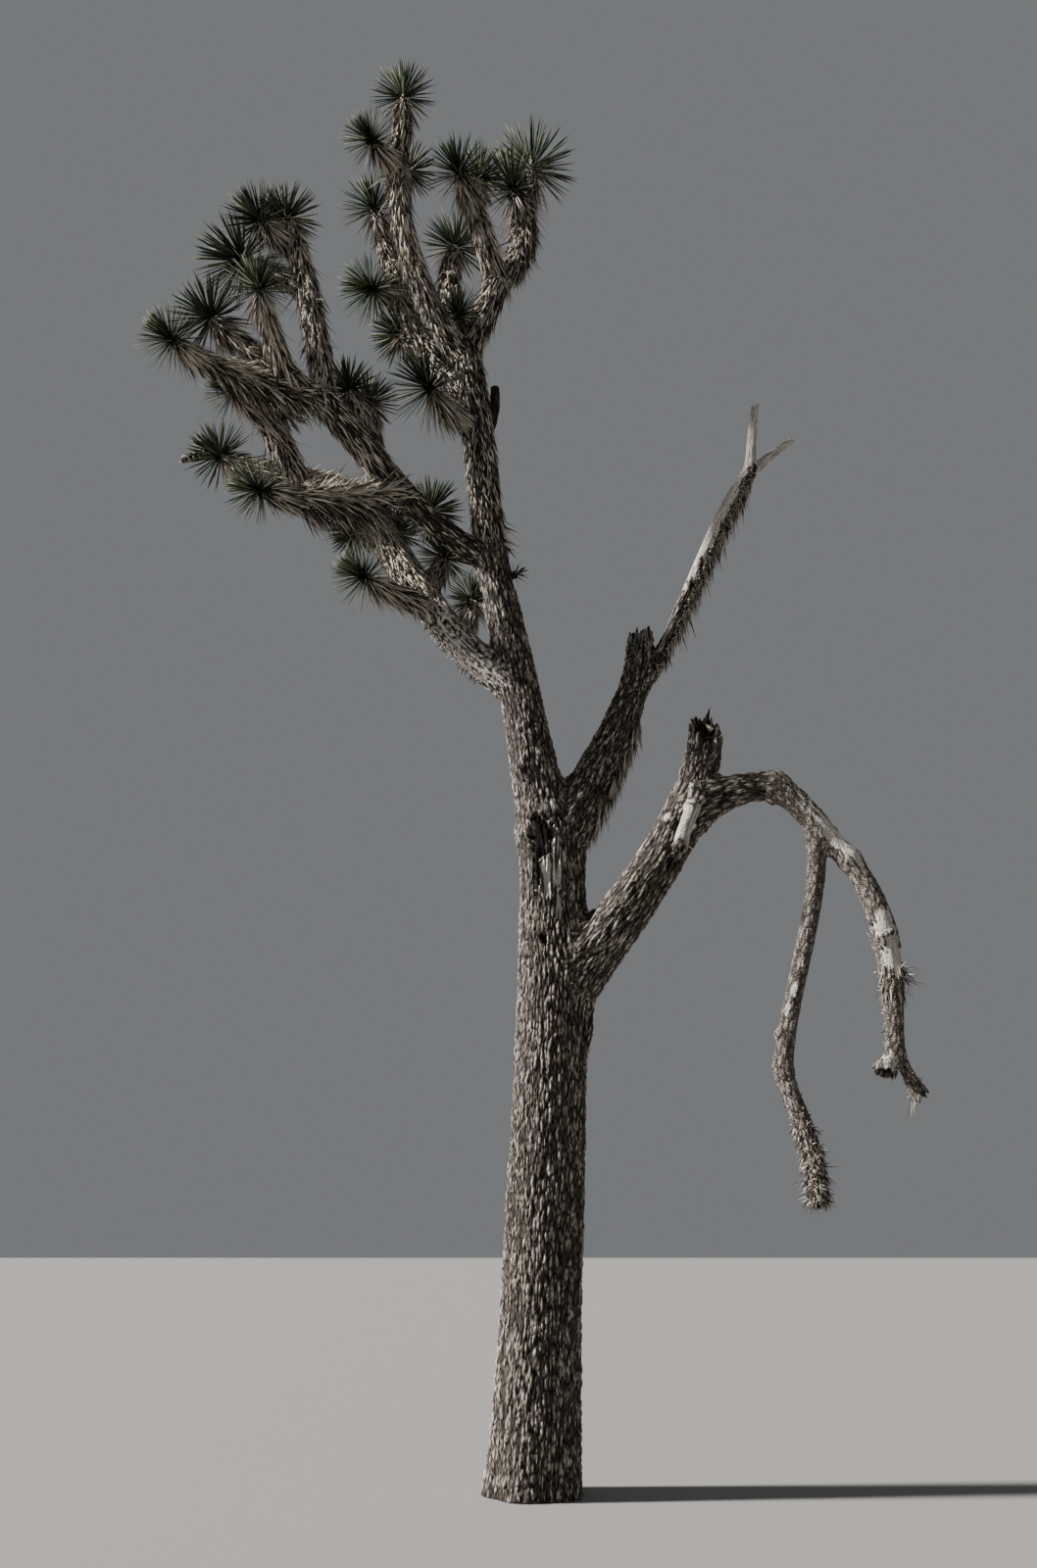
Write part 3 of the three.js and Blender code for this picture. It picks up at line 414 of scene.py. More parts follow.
# Limb, start, end, leaf, density, lift and width, and then what differs from the rest
THATCHES = (
    *(Thatch(name) for name in SHAGGY_LIMBS),
    *(Thatch(name, 0, 1, 0.17, 650, 0.12, 0.0105, hang=0.15) for name in SHAGGY_LIMBS),
    *(Thatch(name, 0.3, 1, 0.2, 70, 0.45, 0.01, hang=0.8) for name in SHAGGY_LIMBS),
    Thatch("leader", 0, 1, 0.09, 1300, 0.1, 0.011, tints=DIM),
    Thatch("leader", 0, 1, 0.15, 420, 0.13, 0.01, hang=0.2, tints=DIM),
    Thatch("left_bough", 0, 1, 0.075, 1300, 0.05, 0.01, tints=(0.1, 0.17, 0.35, 0.38)),
    Thatch("left_bough", 0.6, 1, 0.15, 420, 0.14, 0.01, hang=0.3),
    Thatch("lower_bough", 0.4, 1, 0.08, 1500, 0.1, 0.011, tints=PALE),
    Thatch("lower_bough", 0.5, 1, 0.16, 560, 0.13, 0.01, hang=0.3, tints=PALE),
    # The right side, away from the key light, is dealt a darker mix: painted shade
    Thatch("right_crown_right", 0.3, 1, 0.25, 420, 0.2, 0.011, (1, -0.2, -0.2), 1.3, 0.5,
           tints=(0.15, 0.2, 0.3, 0.35)),
    # The undersides' long dead leaves are dealt the darker mix: painted shade
    Thatch("left_crown_side", 0.1, 1, 0.22, 420, 0.35, 0.011, UNDERSIDE, 1.1, 1.0, tints=SHADED),
    Thatch("level_branch", 0.25, 1, 0.24, 460, 0.4, 0.011, UNDERSIDE, 1.1, 1.2, tints=SHADED),
    Thatch("lower_bough_tip", 0, 1, 0.2, 420, 0.35, 0.011, UNDERSIDE, 1.0, 1.0, tints=SHADED),
    # The sunny sides' top layer of thatch is dealt mostly pale straw: painted light
    Thatch("level_branch", 0, 1, 0.16, 560, 0.2, 0.011, SUNNY_SIDE, 1.2, tangle=0.24, tints=PAINTED_LIGHT_STRAW),
    Thatch("left_crown_side", 0.4, 1, 0.16, 480, 0.2, 0.011, SUNNY_SIDE, 1.1, tangle=0.2,
           tints=(0.8, 0.14, 0.03, 0.03)),
    Thatch("lower_bough_tip", 0, 1, 0.14, 560, 0.16, 0.011, (-0.3, -0.8, 0.5), 1.2, tangle=0.2,
           tints=PAINTED_LIGHT_STRAW),
    Thatch("dead_bough", 0.1, 0.62, 0.2, 620, 0.25, 0.011, (0.85, 0.1, -0.5), 0.7, 2.2, 0.12),
    Thatch("dead_limb", 0.04, 0.97, 0.03, 1300, 0.75, 0.012, (0.92, -0.15, -0.4), 0.95, 0.6, 0.12),
    Thatch("dead_limb", 0.12, 0.95, 0.12, 520, 0.3, 0.01, (0.88, -0.1, -0.5), 0.6, 4, 0.12),
    Thatch("dead_limb", 0.25, 0.92, 0.21, 190, 0.4, 0.01, (0.9, 0, -0.4), 0.4, 5, 0.12),
    Thatch("hanging_inner_tip", 0.04, 0.5, 0.03, 420, 0.5, 0.007, hang=0.3, tangle=0.4),
    Thatch("hanging_inner_tip", 0.42, 1.02, 0.055, 3400, 0.5, 0.0065, hang=14, tangle=0.6,
           tints=(0.34, 0.2, 0.18, 0.28)),
    Thatch("hanging_inner_tip", 0.6, 1.02, 0.1, 520, 0.8, 0.005, hang=14, tangle=0.6),
    Thatch("hanging_outer", 0.3, 0.97, 0.045, 90, 0.8, 0.005, (-1, 0, 0.1), 0.9, 0.4, 0.5),
    Thatch("hanging_outer", 0.58, 0.72, 0.1, 620, 0.3, 0.008, hang=20, tangle=0.12),
    Thatch("hanging_outer", 0.57, 0.65, 0.13, 420, 0.9, 0.007, (0.9, -0.4, 0), 0.7, 10, 0.12,
           (0.1, 0.2, 0.3, 0.4)),
    Thatch("outer_stub_right", 0.55, 1, 0.035, 420, 0.6, 0.006, hang=0.6, tangle=0.5),
    Thatch("outer_stub_right", 0.94, 1, 0.16, 560, 0.4, 0.005, hang=18, tangle=0.3),
    Thatch("outer_stub_left", 0.85, 1, 0.03, 900, 0.9, 0.006, hang=1.0, tangle=0.5),
    Thatch("lower_bough", 0.08, 0.4, 0.055, 170, 0.9, 0.007, (-0.6, 0, -0.8), 0.35, 0.5, 0.4),
    Thatch("leader", 0.02, 0.2, 0.17, 190, 0.5, 0.011, (1, -0.2, 0), 0.4, 0.9, 0.12),
)
STEM_THATCHES = (Thatch("", 0.1, 0.95), Thatch("", 0.2, 0.97, 0.19, 850, 0.14, 0.0105, hang=0.25))
STALK_SCALES = Thatch("", 0.12, 1, 0.024, 900, 1.1, 0.016, tangle=0.4)


@dataclass(frozen=True)
class Swelling:
    """A rounded rise on a limb, where a bough leaves it or a side shoot was lost."""

    on: str
    at: float
    way: Triple
    size: float
    stretch: float = 1.15


SWELLINGS = (
    Swelling("trunk", 0.69, (1, -0.15, 0), 0.062, 3.4),
    Swelling("right_bough", 0.63, (-0.65, -0.8, 0), 0.045),
    Swelling("right_bough", 0.57, (0.45, -0.85, -0.2), 0.04),
    Swelling("broken_twig", 0.12, (-0.4, -0.9, 0), 0.034, 1.2),
    Swelling("broken_twig", 0.28, (0.7, -0.6, 0), 0.03, 1.2),
    Swelling("broken_twig", 0.4, (-0.8, -0.4, 0), 0.026, 1.2),
    Swelling("broken_twig", 0.93, (-0.5, -0.8, 0), 0.03, 1.0),
    Swelling("right_bough", 0.62, (0.55, -0.85, -0.1), 0.048),
    Swelling("arch_rise", 0.97, (0.1, -0.1, -1), 0.042),
    Swelling("arch_fall", 0.8, (-0.8, -0.2, -0.6), 0.048),
    Swelling("hanging_inner", 0.86, (-1, -0.3, 0), 0.036),
    Swelling("left_stem", 0.2, (-0.6, -0.8, 0), 0.074),
)


@dataclass(frozen=True)
class Bared:
    """A patch where the bark is gone; a few dark ones also serve as painted shade and painted shadow.

    Attributes:
        on: the limb that it lies on.
        at: where its middle is along that limb.
        facing: the side that it looks to.
        length: half its length.
        width: half its width, or 0 for all round.
        depth: how deep it lies.
        pale: how pale its wood is, from 0 to 1.
        torn: how high torn fibres stand in it.
        share: how much of the bark is gone there.
        alone: whether it keeps to its own limb.
    """

    on: str
    at: float
    facing: Triple
    length: float
    width: float
    depth: float = 0.006
    pale: float = 1.0
    torn: float = 0.002
    share: float = 1.0
    alone: bool = False


BARED = (
    Bared("trunk", 0.94, (-0.06, -1, 0), 0.25, 0.09, 0.002, 0.86, 0.034),
    Bared("trunk", 0.985, (-0.4, -1, 0), 0.15, 0.095, 0.055, 0.1, 0.008),
    Bared("trunk", 0.925, (-0.62, -1, 0), 0.17, 0.028, 0.035, 0.0),
    Bared("trunk", 0.865, (0.16, -1, 0), 0.09, 0.03, 0.006, 0.55, 0.014),
    Bared("trunk", 0.815, (-0.33, -1, 0), 0.038, 0.034, 0.04, 0.0),
    Bared("left_stem", 0.05, (0.25, -1, 0), 0.1, 0.03, 0.0, 0.6, 0.014, 0.7),
    Bared("left_stem", 0.3, (-0.3, -1, 0), 0.05, 0.02, 0.004, 0.7, 0.008, 0.7),
    # Dark wood round the dead bough's top: painted shadow of the crown over its bare, weathered wood
    Bared("dead_bough", 0.96, (0, -1, 0), 0.26, 0, 0.004, 0.1, 0.03, 0.8),
    # Dark wood on the right of the right bough's broken top: painted shade on the side away from the key
    # light
    Bared("right_bough", 0.93, (0.75, -0.7, 0), 0.17, 0.075, 0.008, 0.12, 0.012, 0.72),
    Bared("right_bough", 0.63, (-0.65, -0.8, 0), 0.034, 0.03, 0.0, 1.0, 0.003, alone=True),
    # A hollow below the broken twig: dented in, and painted black as the shade inside it
    Bared("right_bough", 0.505, (0.62, -1, 0), 0.055, 0.034, 0.04, 0.0, alone=True),
    Bared("dead_limb", 0.74, (-0.8, -0.6, 0.3), 0.85, 0.068, 0.003, 1.0, 0.002, alone=True),
    Bared("dead_limb", 0.2, (-0.8, -0.5, 0.35), 0.35, 0.034, 0.003, 0.8, 0.003, alone=True),
    Bared("arch_fall", 0.42, (0.35, -1, 0.6), 0.26, 0.08, 0.006, 0.96, 0.01, 0.92),
    Bared("arch_fall", 0.8, (0.35, -1, 0.3), 0.2, 0.07, 0.006, 1.0, 0.004),
    Bared("hanging_outer", 0.03, (0.3, -1, 0.2), 0.09, 0.036, 0.005, 1.0, 0.002),
    Bared("hanging_outer", 0.355, (-0.05, -1, 0), 0.105, 0.066, 0.009, 1.0, 0.001),
    Bared("hanging_outer", 0.53, (0.45, -1, 0), 0.14, 0.075, 0.013, 1.0, 0.001),
    Bared("hanging_inner", 0.57, (-0.5, -1, 0), 0.03, 0.025, 0.004, 0.9),
    Bared("hanging_inner", 0.69, (-0.35, -1, 0), 0.055, 0.022, 0.006, 1.0, 0.001),
    Bared("hanging_inner", 0.77, (-0.8, -1, 0), 0.05, 0.02, 0.006, 1.0, 0.001),
    Bared("outer_stub_left", 0.7, (0.1, -1, 0), 0.07, 0.05, 0.004, 0.95),
    Bared("broken_twig", 0.22, (0, -1, 0), 0.15, 0, 0.001, 0.75, 0.014, 0.7),
    Bared("broken_twig", 0.68, (0, -1, 0), 0.17, 0, 0.002, 1.0, 0.003),
    Bared("right_bough", 0.615, (0.55, -0.85, 0), 0.034, 0.034, 0.0, 0.9, 0.012, 0.7, True),
    Bared("lower_bough", 0.2, (0, -1, 0), 0.44, 0, 0.003, 0.97, 0.006, 0.93),
)


@dataclass(frozen=True)
class Splinter:
    """A spike of wood that stands up from a broken end.

    Attributes:
        on: the limb.
        side: the side of the end that it stands on.
        length: its length.
        width: its width.
        lean: the way that it leans.
        tint: its colour.
    """

    on: str
    side: Triple
    length: float
    width: float
    lean: Triple = (0.0, 0.0, 0.0)
    tint: Tint = Tint.DARK


SPLINTERS = (
    Splinter("right_bough", (-0.1, 0.6, 0), 0.17, 0.05, (0.25, 0, 0)),
    Splinter("right_bough", (-0.6, 0.5, 0), 0.08, 0.05, (0.25, 0, 0)),
    Splinter("right_bough", (0.5, 0.5, 0), 0.06, 0.05, (-0.9, 0, 0), Tint.STRAW),
    Splinter("dead_bough", (-0.9, -0.2, 0), 0.07, 0.045, (-0.1, 0, 0)),
    Splinter("dead_bough", (-0.45, -0.7, 0), 0.09, 0.04, (0.1, 0, 0)),
    Splinter("dead_bough", (0.25, -0.8, 0), 0.07, 0.045),
    Splinter("dead_bough", (0.9, -0.1, 0), 0.11, 0.045),
    Splinter("dead_bough", (0.3, 0.8, 0), 0.08, 0.045),
    Splinter("dead_bough", (-0.5, 0.7, 0), 0.06, 0.045),
    Splinter("dead_twig_upright", (0.8, 0, 0), 0.1, 0.034, (0.1, 0, 0), Tint.GREY),
    Splinter("dead_twig_upright", (-0.8, 0, 0), 0.075, 0.03, (0.0, 0, 0), Tint.STRAW),
    Splinter("dead_twig_slanting", (0.2, 0, 0.6), 0.08, 0.03, (0.2, 0, -0.1), Tint.GREY),
    Splinter("dead_twig_slanting", (-0.2, 0, -0.6), 0.06, 0.022, (0.1, 0, 0), Tint.BROWN),
    Splinter("broken_twig", (0.4, -0.5, 0), 0.12, 0.014, (0.95, 0, 0.35), Tint.STRAW),
    Splinter("broken_twig", (-0.4, -0.5, 0), 0.05, 0.03, (0.3, 0, 0), Tint.GREY),
)


def unit(rows: Array) -> Array:
    """Gives each row the length 1."""
    return rows / np.maximum(np.linalg.norm(rows, axis=-1, keepdims=True), 1e-12)


def ease(low: float, high: float, values: Array) -> Array:
    """Rises smoothly from 0 at low to 1 at high."""
    t = np.clip((values - low) / (high - low), 0.0, 1.0)
    return t * t * (3 - 2 * t)


def turned(start: Array, towards: Array, angle: Array) -> Array:
    """Turns one direction towards another by an angle for each row."""
    return start * np.cos(angle)[:, None] + towards * np.sin(angle)[:, None]


def curve(start: Array, bend: Array, end: Array, count: int) -> Array:
    """Lays points along a curve that sets out towards a bend and comes to its end."""
    t = np.linspace(0, 1, count)[:, None]
    return start * (1 - t) ** 2 + bend * 2 * t * (1 - t) + end * t ** 2


def waves(places: Array, kinds: tuple[Triple, ...]) -> Array:
    """Adds up waves of noise.

    Args:
        places: a row for each place.
        kinds: how many waves of each kind there are to a metre round and along, and their height.

    Returns:
        The sum at each place.
    """
    return np.array([sum(height * noise.noise((x * around, y * around, z * along))
                         for around, along, height in kinds) for x, y, z in places.tolist()])


@dataclass
class Spine:
    """A limb's middle line with its girths, and a frame that turns along with it.

    Attributes:
        points: places along the line.
        girths: the diameters at even stations after the lead.
        lead: the length of the part that lies hidden in the limb that it grows from.
        distances: how far along the line each place is.
        length: the whole line's length.
        tangents: the line's direction at each place.
        normals: a direction across it at each place.
    """

    points: Array
    girths: tuple[float, ...]
    lead: float = 0.0
    distances: Array = field(init=False)
    length: float = field(init=False)
    tangents: Array = field(init=False)
    normals: Array = field(init=False)

    def __post_init__(self) -> None:
        """Measures the line and carries a frame along it without twist."""
        steps = np.linalg.norm(np.diff(self.points, axis=0), axis=1)
        self.distances = np.concatenate([[0.0], np.cumsum(steps)])
        self.length = float(self.distances[-1])
        self.tangents = unit(np.gradient(self.points, self.distances, axis=0))
        start = np.cross(self.tangents[0], [0.0, 1.0, 0.0])
        normals = [start / np.linalg.norm(start)]
        for tangent in self.tangents[1:]:
            normal = normals[-1] - tangent * (normals[-1] @ tangent)
            normals.append(normal / np.linalg.norm(normal))
        self.normals = np.array(normals)

    def _read(self, table: Array, s: Array) -> Array:
        """Reads a table of rows between its stations."""
        return np.stack([np.interp(s, self.distances, table[:, k]) for k in range(3)], axis=-1)

    def frame(self, s: Array) -> tuple[Array, Array, Array, Array]:
        """Gives the place, tangent, normal and binormal at distances along the line.

        Args:
            s: distances from the start.

        Returns:
            Four arrays with a row for each distance.
        """
        tangent = unit(self._read(self.tangents, s))
        normal = unit(self._read(self.normals, s))
        return self._read(self.points, s), tangent, normal, np.cross(tangent, normal)

    def distance(self, share: float) -> float:
        """Gives the distance from the start at a share of the visible length."""
        return self.lead + share * (self.length - self.lead)

    def place(self, share: float) -> Array:
        """Gives the point at a share of the visible length."""
        return self._read(self.points, np.array([self.distance(share)]))[0]

    def radius(self, s: Array) -> Array:
        """Reads the radius, smoothed between the stations and narrower in the lead.

        Args:
            s: distances from the start.

        Returns:
            The radius at each.
        """
        stations = np.linspace(self.lead, self.length, len(self.girths))
        reach = GIRTH_SMOOTHING * (self.length - self.lead)
        reads = [np.interp(s + shift, stations, self.girths) for shift in (-reach, 0.0, reach)]
        hidden = 1 - LEAD_TAPER * np.clip(1 - s / max(self.lead, 1e-6), 0, 1) if self.lead else 1.0
        return sum(reads) / 6 * hidden

    def middle_radius(self) -> float:
        """Gives the middle one of nine radii along the visible part."""
        return float(np.median(self.radius(np.linspace(self.lead, self.length, 9))))

    def gap(self, points: Array, share: float) -> Array:
        """Measures how far points lie outside the limb.

        Args:
            points: the points.
            share: the share of the girth that counts.

        Returns:
            A distance for each point, below 0 inside the limb.
        """
        squares = (points ** 2).sum(1)[:, None] + (self.points ** 2).sum(1)[None]
        nearest = (squares - 2 * points @ self.points.T).argmin(1)
        away = points - self.points[nearest]
        half = self.length / len(self.points)
        low = np.where(nearest == 0, 0, -half)
        high = np.where(nearest == len(self.points) - 1, 0, half)
        along = np.clip((away * self.tangents[nearest]).sum(1), low, high)
        across = np.linalg.norm(away - self.tangents[nearest] * along[:, None], axis=1)
        return across - self.radius(self.distances[nearest] + along) * share


def limb_spine(limb: Limb, spines: dict[str, Spine]) -> Spine:
    """Works out a limb's middle line from the limb that it grows on.

    Args:
        limb: the limb.
        spines: the middle lines of the limbs before it.

    Returns:
        Its own middle line, led in from the middle of the other limb.
    """
    foot = np.array(limb.aside, float)
    if limb.on:
        foot = foot + spines[limb.on].place(limb.at)
    t = np.linspace(0, 1, LIMB_STATIONS)[:, None]
    arch = 4 * t * (1 - t)
    wave = SWAY_SCALE * t * (1 - t) * (1 - 2 * t)
    reach, bow, sway = (np.array(part) for part in (limb.reach, limb.bow, limb.sway))
    points = foot + reach * t + bow * arch + sway * wave
    if not limb.on:
        return Spine(points, limb.girths)
    parent = spines[limb.on]
    station = np.array([parent.distance(limb.at)])
    middle, way, _, _ = parent.frame(station)
    leaving = unit(points[1] - points[0])
    back = LEAD_BACK * float(parent.radius(station)[0]) * max(0.0, float(leaving @ way[0]))
    root = middle[0] - way[0] * back
    hidden = curve(root, foot - leaving * 0.5 * np.linalg.norm(foot - root), foot, LEAD_STATIONS)
    lead = float(np.linalg.norm(np.diff(hidden, axis=0), axis=1).sum())
    return Spine(np.vstack([hidden[:-1], points]), limb.girths, lead)


def stem_spine(mass: Mass, neck: Neck, spines: dict[str, Spine]) -> tuple[Spine, Array]:
    """Works out the stem of one rosette.

    Args:
        mass: the mass that it belongs to.
        neck: the rosette's neck.
        spines: the limbs' middle lines.

    Returns:
        The stem's middle line and the way that the rosette faces.
    """
    parent = spines[mass.on]
    foot = parent.place(mass.at)
    girth = parent.girths[-1] * STEM_SHARE if mass.at == 1 else STEM_GIRTH
    if mass.name in SPROUTS:
        girth = NECK_GIRTH
    run = np.array(neck.reach)
    end = foot + run
    aim = unit(unit(run) + UP * neck.rise)
    points = curve(foot, end - aim * STEM_BEND * np.linalg.norm(run), end, STEM_STATIONS)
    return Spine(points, (*[girth * share for share in STEM_TAPER], NECK_GIRTH)), aim


def all_spines() -> dict[str, Spine]:
    """Works out every limb's middle line in growing order."""
    spines: dict[str, Spine] = {}
    for limb in LIMBS:
        spines[limb.name] = limb_spine(limb, spines)
    return spines


def deselect_all() -> None:
    """Leaves nothing selected, so that operators act only on the new piece."""
    if bpy.context.object and bpy.context.object.mode != "OBJECT":
        bpy.ops.object.mode_set(mode="OBJECT")
    bpy.ops.object.select_all(action="DESELECT")


@dataclass(frozen=True)
class Relief:
    """The bark's relief: long furrows with corky plates between them, on broad ridges.

    Attributes:
        plate: a plate's width.
        tall: its height along the limb.
        furrow: a furrow's length along the limb.
        depth: how deep the furrows are.
        ridge: how high the broad ridges are.
    """

    plate: float = 0.0205
    tall: float = 0.047
    furrow: float = 0.17
    depth: float = 0.014
    ridge: float = 0.0045

    @staticmethod
    def inset(place: Triple) -> float:
        """Gives how far a place lies in from the border of its cell, from 0 to 1."""
        near, far = noise.voronoi(place)[0][:2]
        return min((far - near) * CELL_GAIN, 1.0)

    def heights(self, grain: Array) -> tuple[Array, Array]:
        """Reads the relief at places on the straightened limb.

        Args:
            grain: a row for each place, with the limb's own length along Z.

        Returns:
            The height over the mean surface, and how much of a plate's top each place is.
        """
        crests = np.empty(len(grain))
        broad = np.empty(len(grain))
        for i, ((x, y, z), warp) in enumerate(zip(grain.tolist(), waves(grain, WARP_WAVES).tolist())):
            p, q = x / self.plate + warp, y / self.plate - warp
            side = self.inset((p, q, z / self.furrow))
            top = self.inset((p * 0.9 + 7, q * 0.9, z / self.tall))
            crests[i] = side * side * (3 - 2 * side) * (0.52 + 0.48 * top * top * (3 - 2 * top))
            broad[i] = noise.fractal((x * 9, y * 9, z * 1.6), 0.9, 2.1, 3)
        return self.depth * (crests - MEAN_CREST) + self.ridge * broad, crests


@dataclass
class Patch:
    """A bared patch, placed on its limb.

    Attributes:
        kind: the patch.
        centre: its middle.
        along: the limb's direction there.
        across: the direction round the limb.
        facing: the way that it looks.
    """

    kind: Bared
    centre: Array
    along: Array
    across: Array
    facing: Array

    @classmethod
    def placed(cls, kind: Bared, spine: Spine) -> "Patch":
        """Finds the patch's place on its limb.

        Args:
            kind: the patch.
            spine: the limb's middle line.

        Returns:
            The placed patch.
        """
        s = np.array([spine.distance(kind.at)])
        middle, along, _, _ = spine.frame(s)
        facing = np.array(kind.facing, float)
        facing = unit(facing - along[0] * (facing @ along[0]))
        centre = middle[0] + facing * (float(spine.radius(s)[0]) if kind.width else 0.0)
        return cls(kind, centre, along[0], np.cross(along[0], facing), facing)

    def reach(self, points: Array, outward: Array) -> Array:
        """Measures how far points are from the patch's middle, with 1 at its ragged edge.

        Args:
            points: the points.
            outward: the way out of the limb at each.

        Returns:
            The measure, large where the patch doesn't look.
        """
        away = points - self.centre
        along = away @ self.along
        if self.kind.width:
            reach = np.hypot(along / self.kind.length, away @ self.across / self.kind.width)
            seen = (outward @ self.facing > 0.05) & (np.abs(away @ self.facing) < FACE_REACH)
        else:
            reach = np.abs(along / self.kind.length)
            seen = np.linalg.norm(away - np.outer(along, self.along), axis=1) < ROUND_REACH
        reach = np.where(seen, reach, FAR)
        edge = np.flatnonzero(reach < 1.6)
        reach[edge] += waves(points[edge], RIM_WAVES)
        return reach


@dataclass
class BarkSkin:
    """The relief-bearing skin of one limb, rolled from a grid.

    Attributes:
        limb: the limb.
        spine: its middle line.
        relief: its bark's relief.
        cell: the distance between its points round the limb.
        near: the limbs that it joins, each with the share that is stem and how widely they merge.
        patches: where bark is gone anywhere on the tree.
        share: each point's share of the radius.
        lift: how far it follows the end beyond the tip.
        angle: its angle round the limb.
        outward: the way out of the limb there.
        grain: its place on the straightened limb.
        points: its place.
    """

    limb: Limb
    spine: Spine
    relief: Relief
    cell: float
    near: list[tuple[Spine, float, float]] = field(default_factory=list)
    patches: list[Patch] = field(default_factory=list)
    share: Array = field(init=False)
    lift: Array = field(init=False)
    angle: Array = field(init=False)
    outward: Array = field(init=False)
    grain: Array = field(init=False)
    points: Array = field(init=False)

    def rows(self) -> tuple[Array, Array, Array]:
        """Lays out the rings from foot to tip.

        Returns:
            For each ring, its distance along the limb, its share of the radius, and how far it follows
            the end beyond the tip.
        """
        steps = max(FEWEST_ROWS, round(self.spine.length / (self.cell * ROW_STRETCH)))
        along = np.linspace(0, self.spine.length, steps + 1)
        shares, lifts = BREAK_SHARES, BREAK_RISES
        if not self.limb.ragged:
            turns = np.radians(DOME_TURNS)
            shares, lifts = np.cos(turns), np.sin(turns)
        starts = along, np.ones(len(along)), np.zeros(len(along))
        ends = np.full(len(shares), self.spine.length), shares, lifts
        s, share, lift = (np.concatenate(parts) for parts in zip(starts, ends))
        return s, share, lift

    def roll(self, rings: int, around: int) -> tuple[bpy.types.Object, Array, Array]:
        """Adds the grid.

        Args:
            rings: how many rings it has.
            around: how many cells go round the limb.

        Returns:
            Its object, each point's ring and its angle round the limb.
        """
        deselect_all()
        bpy.ops.mesh.primitive_grid_add(x_subdivisions=around, y_subdivisions=rings - 1, size=1)
        skin = bpy.context.object
        skin.name = self.limb.name + "_skin"
        flat = np.empty(len(skin.data.vertices) * 3)
        skin.data.vertices.foreach_get("co", flat)
        x, y, _ = flat.reshape(-1, 3).T
        column = np.rint((x + 0.5) * around).astype(int) % around
        return skin, np.rint((y + 0.5) * (rings - 1)).astype(int), 2 * math.pi * column / around

    def push(self, amount: Array) -> None:
        """Pushes the points out of the limb, less so at its ends."""
        self.points += self.outward * (amount * self.share)[:, None]

    def bared(self) -> tuple[Array, Array, Array]:
        """Finds where the bark is gone, how pale the wood is there, and its own relief.

        Returns:
            The share of bare wood, its paleness, and the push outwards at each point.
        """
        mask, push = np.zeros((2, len(self.points)))
        pale = np.full(len(self.points), 1.0 if self.limb.skin is Skin.WOOD else WOOD_PALE)
        for patch in self.patches:
            kind = patch.kind
            if (kind.alone or not kind.width) and kind.on != self.limb.name:
                continue
            reach = patch.reach(self.points, self.outward)
            inside = (1 - ease(*PATCH_EDGE, reach)) * kind.share
            gone = np.flatnonzero(inside)
            if kind.share < 1:
                scraps = SCRAP_LEVEL + SCRAP_CONTRAST * waves(self.grain[gone], SCRAP_WAVES)
                inside[gone] *= np.clip(scraps, 0.0, 1.0)
            rim = ease(*RIM_RISE, reach) * (1 - ease(*RIM_FALL, reach))
            mask = np.maximum(mask, inside)
            pale = pale + (kind.pale - pale) * inside
            raised = min(kind.depth, RIM_DEPTH) * RIM_SHARE * rim
            push = push * (1 - inside) + (raised - kind.depth * inside)
            push[gone] += kind.torn * inside[gone] * waves(self.grain[gone], STRAND_WAVES)
        return mask, pale, push

    def joined(self) -> Array:
        """Lets the limb flow into the limbs that it joins.

        Returns:
            The push outwards at each point.
        """
        total = np.zeros(len(self.points))
        for spine, share, merge in self.near:
            reach = merge * min(self.spine.middle_radius(), spine.middle_radius() * share)
            start = spine.gap(self.points, share)
            near = np.flatnonzero((start < reach) & (start > -reach))
            push = np.zeros(len(near))
            for _ in range(MERGE_ROUNDS):
                gap = spine.gap(self.points[near] + self.outward[near] * push[:, None], share)
                blend = np.clip(1 - np.abs(push - gap) / reach, 0, 1)
                push = push - (np.minimum(push, gap) - blend ** 2 * reach / 4)
                push = np.clip(push, 0, MERGE_LIMIT * reach)
            shown = ease(MERGE_BURIED * reach, 0.0, start[near])
            total[near] = np.maximum(total[near], push * shown)
        return total

    def swellings(self) -> Array:
        """Shapes the limb's swellings.

        Returns:
            The push outwards at each point.
        """
        push = np.zeros(len(self.points))
        for swelling in [w for w in SWELLINGS if w.on == self.limb.name]:
            middle = np.array([self.spine.distance(swelling.at)])
            place, tangent, _, _ = self.spine.frame(middle)
            way = unit(np.array(swelling.way))
            away = self.points - (place[0] + way * self.spine.radius(middle)[0])
            along = away @ tangent[0]
            across = np.linalg.norm(away - along[:, None] * tangent[0], axis=1)
            reach = np.hypot(along / (swelling.size * swelling.stretch), across / swelling.size)
            faced = self.outward @ way > SWELL_FACING
            push += swelling.size * SWELL_HEIGHT * (1 - ease(*SWELL_EDGE, reach)) * faced
        return push

    def broken_end(self) -> Array:
        """Shapes the teeth and the chipped wood of a broken end.

        Returns:
            How far each point stands beyond the tip, in shares of the tip's radius.
        """
        seed = len(self.limb.name) * 3.7 + self.spine.length
        rough = [noise.noise((ROUGH_TEETH * math.cos(a) + seed, ROUGH_TEETH * math.sin(a), seed))
                 for a in self.angle]
        fine = [noise.noise((FINE_TEETH * math.cos(a), FINE_TEETH * math.sin(a) + seed, 1.3))
                for a in self.angle]
        mean, coarse, small = TEETH
        teeth = mean + coarse * np.array(rough) + small * np.array(fine)
        teeth = np.clip(teeth, 0.0, TALLEST_TOOTH)
        chips = np.array([noise.noise((x * CHIPS, y * CHIPS, 0.4))
                          for x, y in self.grain[:, :2].tolist()])
        rise = np.where(self.lift > 0, self.lift * teeth, self.lift)
        return rise + (self.lift != 0) * chips * CHIP_HEIGHT

